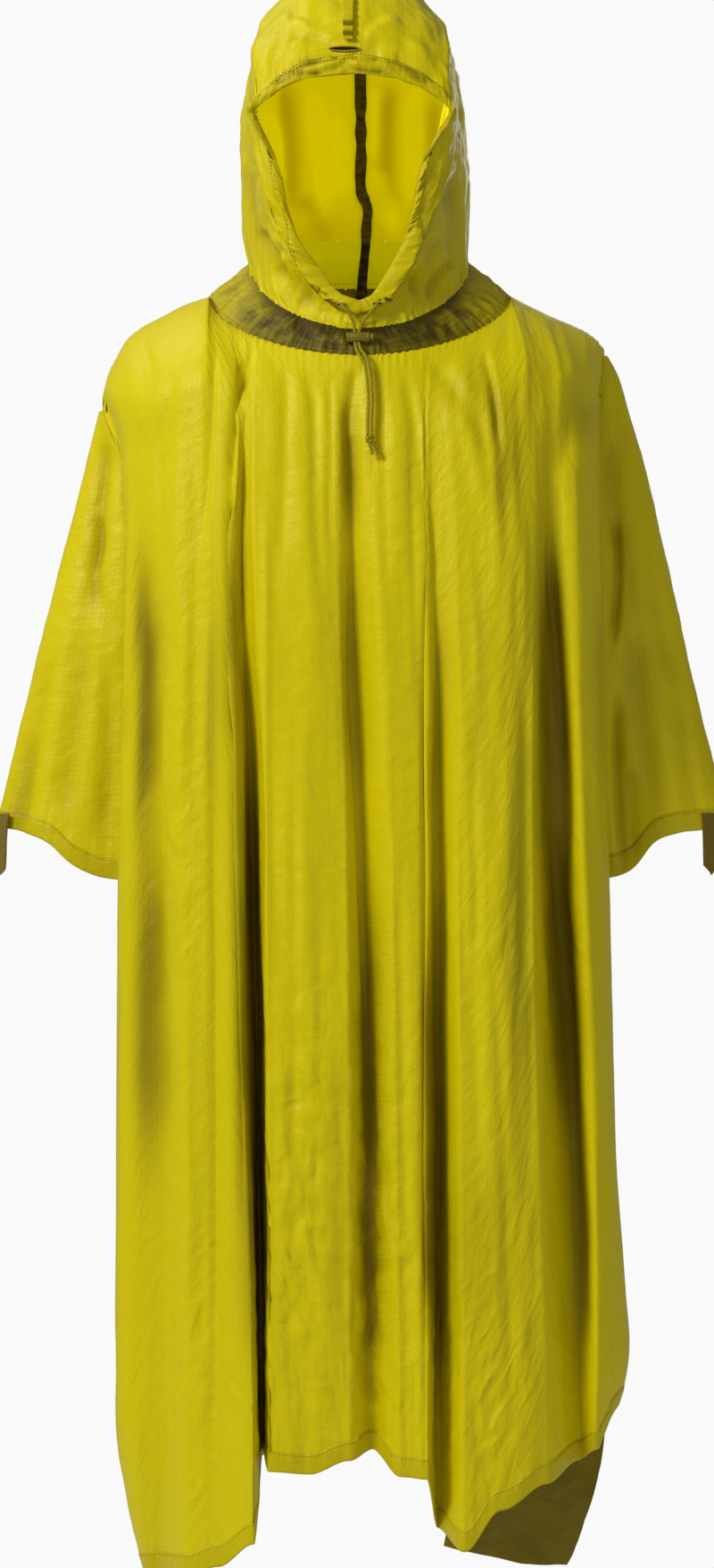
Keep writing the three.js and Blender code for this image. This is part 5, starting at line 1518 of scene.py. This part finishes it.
# The painted glow of daylight through the hood: less low down, from one height over a rise, and
# less in the folds of its back, for each millimetre that they stand out.
HOOD_DAYLIGHT = {"low": 0.35, "from": 20, "rise": 130, "most": 0.85, "fold": 0.14}
hood_points = {}
for edge in (-1, 1):
    turn = np.linspace(0, np.pi, HOOD_COLUMNS + 1)
    turn = turn if edge > 0 else turn + np.pi
    start = (tunnel_width(turn) - 1) / hood_length(turn)
    share = np.linspace(0, 1, HOOD_ROWS + 1)[:, None]
    share = mixed(start[None, :], 1.0, share)
    hood = hood_surface(turn[None, :] + 0 * share, share)
    hood_cloth = cloth_places(hood)
    run, down = hood_cloth[..., 0] / MM, hood_cloth[..., 1] / MM
    to_neck = down[-1:] - down
    near_front = smooth(-hood[..., 1] / 60)
    x, z = hood[..., 0], hood[..., 2]
    relief = (crease_relief(x, z, HOOD_CREASES[edge]) + crease_relief(x, z, BRIM_FOLDS)) * near_front
    back_folds = crease_relief(x, z, HOOD_BACK_CREASES[edge]) * (1 - near_front)
    relief = relief + back_folds
    relief = relief + 2.2 * soft_noise(run, down / 2.2, 26, 121 + edge) * smooth(down / 20)
    relief = relief + 1.0 * soft_noise(run, down / 1.6, 11, 123 + edge)
    low_round = smooth((60 - hood[..., 2]) / 80)
    relief = relief + 2.0 * low_round * crumple(run, down, 20, 125 + edge)
    relief = relief + 1.1 * crumple(run, down, 30, 127 + edge)
    relief = relief + puckers(run, down, spacing=6.5, reach=7, height=1.1, seed=131 + edge)
    relief = relief + puckers(run, to_neck, spacing=7.5, reach=9, height=1.2, seed=133 + edge)
    on_seam = smooth((np.abs(x) - 5) / 16) * smooth((z - 30) / 40)
    relief = relief * mixed(1, on_seam, smooth((z - 30) / 40) * (1 - 0.8 * near_front))
    hood_out = -surface_normals(hood)
    hood = hood + hood_out * relief[..., None]
    seam = np.abs(np.sin(turn)) < 0.01
    hood[:, seam, 0] = 0
    # Painted shade in the hood's troughs.
    hood_hollow = smooth((3 - relief) / 12) * 0.5
    high_up = smooth((z - HOOD_DAYLIGHT["from"]) / HOOD_DAYLIGHT["rise"])
    daylight = HOOD_DAYLIGHT["most"] - HOOD_DAYLIGHT["fold"] * back_folds
    daylight = daylight * mixed(HOOD_DAYLIGHT["low"], 1, high_up)
    hood_points[edge] = (hood, hood_out)
    word = SIDES[edge]
    piece = grid_piece(
        f"hood_shell_{word}", hood, hood_cloth, HOOD_SHELL, hollow=hood_hollow, daylight=daylight
    )
    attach(piece, "root")
    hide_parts(f"hood_{word}")

# The face tunnel is the hood's own front edge folded double round the drawcord. The cord has
# drawn it up, so it is swollen, twisted and puckered all the way round the opening.
TUNNEL_COLUMNS = 1100
TUNNEL_SECTION = 28
TUNNEL_THICK = 1.6
# Knobs where the band is bunched up: place in half turns from the chin, reach and height.
TUNNEL_KNOBS = [
    (-0.755, 6, 3.6),
    (0.735, 7, 2.6),
    (0.6, 7, 2.8),
    (0.52, 6, 2.8),
    (-0.52, 6, 2.2),
    (-0.3, 9, 2.0),
    (0.3, 9, 2.0),
    (-0.12, 8, 1.6),
]


def tunnel_surface(turn, section, lift):
    """Flat oval section carried round the face edge: half a turn of the section crosses the
    band on its outer face and the other half comes back on its inner one."""
    across = (0.5 - 0.5 * np.cos(section)) * tunnel_width(turn) / hood_length(turn.ravel())
    base = hood_surface(turn + 0 * across, across)
    forward = 0.004
    ahead = hood_surface(turn + 0 * across, across + forward) - base
    along = hood_surface(turn + forward + 0 * across, across) - base
    out = unit(np.cross(along, ahead)) * -1
    height = TUNNEL_THICK * np.sin(section) + lift
    return base + out * height[..., None], out


turn = np.linspace(0, 2 * np.pi, TUNNEL_COLUMNS, endpoint=False)[None, :]
section = np.linspace(0, 2 * np.pi, TUNNEL_SECTION + 1)[:, None]
edge_line = face_edge(turn[0])
run = lengths(np.concatenate([edge_line, edge_line[:1]]))
run_here = run[:-1][None, :] + 0 * section
# The band's outer face swells unevenly and is puckered in slanting waves, 7.5 mm from crest to
# crest, that come and go round the face and are weaker over the brim.
outer_face = np.maximum(np.sin(section), 0)
uneven = soft_noise(run_here, 8 * section, 15, 141)
slant = run_here + 5 * np.cos(section) * soft_noise(run_here, 0 * section, 40, 145)
on_brim = smooth((-np.cos(turn) - 0.7) / 0.2)
gathered = (0.3 + 0.7 * smooth(0.5 + soft_noise(run_here, 0 * section, 17, 146))) * (1 - 0.8 * on_brim)
pucker = 0.9 * gathered * np.cos(2 * np.pi * slant / 7.5 + 7 * soft_noise(run_here, 3 * section, 22, 142))
lift = outer_face * (1.4 + 1.2 * uneven + pucker) + 0.6 * soft_noise(run_here, 12 * section, 7, 143)
lift = lift + 0.7 * outer_face * crumple(run_here, 9 * section, 13, 147)
for place, reach, height in TUNNEL_KNOBS:
    middle = np.interp((place % 2) * np.pi, turn[0], run[:-1])
    lift = lift + outer_face * height * np.exp(-(((run_here - middle) / reach) ** 2))
plain_tunnel, _ = tunnel_surface(turn, section, lift)
lift = lift + outer_face * crease_relief(plain_tunnel[..., 0], plain_tunnel[..., 2], BRIM_FOLDS)
tunnel, tunnel_out = tunnel_surface(turn, section, lift)
twist = 1.6 * soft_noise(run_here, 0 * section, 30, 144)
tunnel[..., 2] += twist * np.abs(np.sin(turn))
across_band = np.linspace(0, 2 * tunnel_width(0), TUNNEL_SECTION + 1)[:, None]
tunnel_cloth = np.stack([run[None, :] + 0 * section, across_band + 0 * run[None, :]], axis=-1) * MM
# Painted shade where the band's outer face sinks between its puckers and knobs.
tunnel_hollow = smooth((1.6 - lift) / 4) * 0.9
tunnel_piece = grid_piece(
    "face_tunnel_band", tunnel, tunnel_cloth, DOUBLED, closed=True, hollow=tunnel_hollow
)
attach(tunnel_piece, "root")
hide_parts("face_tunnel")

# Two rows of stitches close the tunnel along the hood.
tunnel_rows = []
for offset in (0.82, 0.97):
    here = np.arccos(1 - 2 * offset) + 0 * turn
    line, out = tunnel_surface(turn, here, 0 * here + 0.9)
    tunnel_rows.append((np.concatenate([line[0], line[0, :1]]), np.concatenate([out[0], out[0, :1]])))
stitch_piece("face_tunnel_stitches", tunnel_rows)

# A worked buttonhole on each side of the chin lets a strand out of the tunnel, and a longer slot
# opens the crown's tunnel above the brim. Each is a slit with close thread round it, and a dark
# disc inside it is the painted shadow in the opening.
BUTTONHOLE = {"cord": 0.75, "sides": 10, "columns": 96}
CHIN_SLIT = {"half_length": 4.6, "half_width": 1.5}
CROWN_SLIT = {"half_length": 14, "half_width": 2.2}
CROWN_SLIT_AT = (-13, -110, 226)
CROWN_SLIT_RAISED = 1.4
# The dark inside of a slit is painted shadow.
SLIT_SHADOW = Finish("slit_painted_shadow", Roughness=0.9, Specular_IOR_Level=0.1)
slit_cloth = SLIT_SHADOW.node("ShaderNodeTexNoise", None, {"Scale": 1200.0})
SLIT_SHADOW.feed(Base_Color=SLIT_SHADOW.colour_mix(slit_cloth, rgb(24, 19, 3), rgb(44, 36, 6)))


def surface_near(points, outward, target):
    """The point of a surface nearest to a target, with its outward direction."""
    far = np.linalg.norm(points - target, axis=-1)
    i, j = np.unravel_index(np.argmin(far), far.shape)
    return points[i, j], outward[i, j]


def worked_slit(word, middle, out, half_length, half_width):
    """Slit at a place on the cloth, level, with its ring of thread and a dark disc of painted shadow for
    its inside.
    """
    right = unit(np.cross((0, 0, 1), out))
    up = np.cross(out, right)
    turn_round = np.linspace(0, 2 * np.pi, BUTTONHOLE["columns"], endpoint=False)[None, :]
    bead = np.linspace(0, 2 * np.pi, BUTTONHOLE["sides"] + 1)[:, None]
    thread = BUTTONHOLE["cord"] * (1 + 0.3 * np.cos(24 * turn_round))
    ring = (
        middle
        + right * ((half_length + thread * np.cos(bead)) * np.cos(turn_round))[..., None]
        + up * ((half_width + thread * np.cos(bead)) * np.sin(turn_round))[..., None]
        + out * (0.4 + thread * np.sin(bead) * 0.7)[..., None]
    )
    flat = np.stack(np.broadcast_arrays(np.arange(BUTTONHOLE["columns"] + 1.0)[None, :], bead), -1) * MM
    worked = grid_piece(f"worked_edge_{word}", ring, flat, THREAD, closed=True, flip=True)
    grow = np.linspace(0, 1, 4)[:, None]
    disc = (
        middle
        + right * (half_length * grow * np.cos(turn_round))[..., None]
        + up * (half_width * grow * np.sin(turn_round))[..., None]
        + out * (0.35 + 0 * grow * turn_round)[..., None]
    )
    slit = grid_piece(f"slit_{word}", disc, flat[:4], SLIT_SHADOW, closed=True)
    for piece in (worked, slit):
        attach(piece, "root")


outer_rows = slice(TUNNEL_SECTION // 8, 3 * TUNNEL_SECTION // 8)
for word, path in strand_paths.items():
    middle, out = surface_near(tunnel[outer_rows], tunnel_out[outer_rows], path[0])
    worked_slit(word, middle, out, **CHIN_SLIT)
middle, out = surface_near(*hood_points[-1], CROWN_SLIT_AT)
worked_slit("crown", middle + out * CROWN_SLIT_RAISED, out, **CROWN_SLIT)

# A narrow doubled strip covers the hood's centre seam from the crown to a slot above the brim.
# A tape is sewn over the same seam inside, dark with its glue and twisted where it hangs loose.
CROWN = {"from": 0.06, "to": 0.5, "half": 5.2, "raise": 3.6, "thick": 1.2}
CROWN_ASIDE = -11
# Darker patches of the strip: height of each and half of its length.
CROWN_PATCHES = [(254, 3), (244, 3.4), (234.5, 1.8)]
TAPE = {"from": 0.03, "half": 5.0, "raise": -2.2, "thick": 0.8, "back_rows": 24}
TAPE_DRIFT = {
    "z": [0, 40, 70, 90, 100, 120, 160, 210, 306],
    "x": [1, 3, 6, 7, 8, 2, 1.5, 1, 0],
}
STRIP_ROWS = 420
STRIP_COLUMNS = 8


def seam_strip(size, line, drift, wander):
    """Strip on a line of the middle seam: it follows the line at its own height off the cloth,
    and drifts and waves a little to the sides."""
    ahead = unit(np.gradient(line, axis=0))
    out = np.stack([0 * ahead[:, 0], -ahead[:, 2], ahead[:, 1]], axis=-1)
    out = out * np.sign(out[len(out) // 2, 2] + 1e-9)
    across = np.linspace(-1, 1, STRIP_COLUMNS + 1)[None, :]
    run = lengths(line)
    half = size["half"] * (1 + wander * soft_noise(run, 0 * run, 14, 151))
    x = drift[:, None] + half[:, None] * across
    rise = size["raise"] + 0.9 * np.cos(2 * np.pi * run / 9 + 2 * soft_noise(run, 0 * run, 20, 152))
    rise = rise[:, None] * (1 + 0 * across) + 0.5 * soft_noise(run[:, None] + 0 * x, 5 * across, 8, 153)
    points = line[:, None] + out[:, None] * rise[..., None]
    points[..., 0] = x
    cloth = np.stack([(half[:, None] * across), run[:, None] + 0 * across], axis=-1) * MM
    return points, cloth, run


share = np.linspace(CROWN["from"], CROWN["to"], STRIP_ROWS + 1)
crown_line = hood_surface(np.full_like(share, np.pi), share)
near_slot = smooth((-40 - crown_line[:, 1]) / 60)
strip, strip_cloth, run = seam_strip(CROWN, crown_line, CROWN_ASIDE * near_slot, 0.12)
dark = 0.12 + 0 * strip[..., 0]
for height, reach in CROWN_PATCHES:
    dark = dark + 0.8 * np.exp(-(((strip[..., 2] - height) / reach) ** 4))
crown = grid_piece("crown_strip", strip, strip_cloth, DOUBLED, hollow=dark)
thicken(crown, CROWN["thick"])
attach(crown, "root")
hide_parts("crown_tunnel")


def glued_tape():
    """Seam tape: a smooth film on dark fabric, browned by its glue, with a soft shine."""
    finish = Finish("glued_tape", Specular_IOR_Level=0.4)
    flat = finish.node("ShaderNodeUVMap", {"uv_map": "cloth"})
    patch = finish.node("ShaderNodeTexNoise", None, {"Vector": flat, "Scale": 120.0, "Detail": 4.0})
    fine = finish.node("ShaderNodeTexNoise", None, {"Vector": flat, "Scale": 700.0, "Detail": 2.0})
    finish.feed(
        Base_Color=finish.colour_mix(patch.between(0.3, 0.7), rgb(42, 32, 6), rgb(88, 70, 14)),
        Roughness=0.42 + patch * 0.2,
        Normal=finish.bump(patch + fine * 0.3, 0.0008),
    )
    return finish


share = np.linspace(TAPE["from"], 1, STRIP_ROWS + 1)
hood_line = hood_surface(np.full_like(share, np.pi), share)
yoke_line = yoke_surface(np.array([np.pi]), np.linspace(0.03, 0.97, 20))[:, 0]
back_line = back[2:TAPE["back_rows"], back.shape[1] // 2]
tape_line = np.concatenate([hood_line, yoke_line, back_line])
tape_run = lengths(tape_line)
even = np.linspace(0, tape_run[-1], STRIP_ROWS + 1)
tape_line = np.stack([np.interp(even, tape_run, tape_line[:, k]) for k in range(3)], axis=-1)
tape_line[:, 0] = 0
drift = through(TAPE_DRIFT["z"], TAPE_DRIFT["x"], tape_line[:, 2])
strip, strip_cloth, run = seam_strip(TAPE, tape_line, drift, 0.2)
tape = grid_piece("seam_tape_strip", strip, strip_cloth, glued_tape(), flip=True)
thicken(tape, TAPE["thick"])
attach(tape, "root")
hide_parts("seam_tape")

# A round pale floor under soft studio light: a key from the upper left, a weaker fill from the
# right, one light above and one behind. The surrounding sheds a weak even light, and is seen
# itself as a plain white wall.
FLOOR_Z = -1420
FLOOR_RADIUS = 1400
FLOOR_RINGS = 12
FLOOR_COLUMNS = 128
SURROUND_LIGHT = 0.24
WALL_WHITE = (0.95, 0.95, 0.95, 1.0)
# Each light's place and what it is turned to, its width in metres and its watts.
LIGHTS = {
    "key_light": ((-2.3, -2.3, 1.6), (0, 0, -0.5), 1.1, 88),
    "fill_light": ((2.4, -3.0, 0.0), (0, 0, -0.6), 2.0, 13),
    "top_light": ((-1.5, 0.5, 2.1), (0, 0, -0.1), 1.1, 14),
    "rear_light": ((0.5, 3.4, 0.2), (0, 0, -0.5), 1.6, 34),
}

turn = np.linspace(0, 2 * np.pi, FLOOR_COLUMNS, endpoint=False)[None, :]
radius = np.linspace(0, FLOOR_RADIUS, FLOOR_RINGS + 1)[:, None]
floor_points = np.stack(
    np.broadcast_arrays(radius * np.cos(turn), radius * np.sin(turn), FLOOR_Z), axis=-1
).astype(float)
floor_cloth = np.zeros((FLOOR_RINGS + 1, FLOOR_COLUMNS + 1, 2))
paper = Finish("pale_floor", Base_Color=(0.86, 0.86, 0.86, 1.0), Roughness=0.9, Specular_IOR_Level=0.1)
floor = grid_piece("floor", floor_points, floor_cloth, paper, closed=True)


def soft_box(name, place, target, size, watts):
    """Square soft light at a place, turned to a target."""
    light = bpy.data.lights.new(name, "AREA")
    light.shape = "SQUARE"
    light.size = size
    light.energy = watts
    made = bpy.data.objects.new(name, light)
    made.location = place
    to_target = mathutils.Vector(target) - mathutils.Vector(place)
    made.rotation_euler = to_target.to_track_quat("-Z", "Y").to_euler()
    made.visible_camera = False
    bpy.context.scene.collection.objects.link(made)


for name, (place, target, size, watts) in LIGHTS.items():
    soft_box(name, place, target, size, watts)

world = bpy.data.worlds.new("studio")
world.use_nodes = True
sky_tree = world.node_tree
surround = sky_tree.nodes["Background"]
surround.inputs["Strength"].default_value = SURROUND_LIGHT
surround.inputs["Color"].default_value = (1.0, 1.0, 1.0, 1.0)
white_wall = sky_tree.nodes.new("ShaderNodeBackground")
white_wall.inputs["Color"].default_value = WALL_WHITE
seen = sky_tree.nodes.new("ShaderNodeLightPath")
either = sky_tree.nodes.new("ShaderNodeMixShader")
sky_tree.links.new(seen.outputs["Is Camera Ray"], either.inputs[0])
sky_tree.links.new(surround.outputs[0], either.inputs[1])
sky_tree.links.new(white_wall.outputs[0], either.inputs[2])
sky_tree.links.new(either.outputs[0], sky_tree.nodes["World Output"].inputs["Surface"])
bpy.context.scene.world = world
bpy.context.scene.view_settings.view_transform = "Standard"
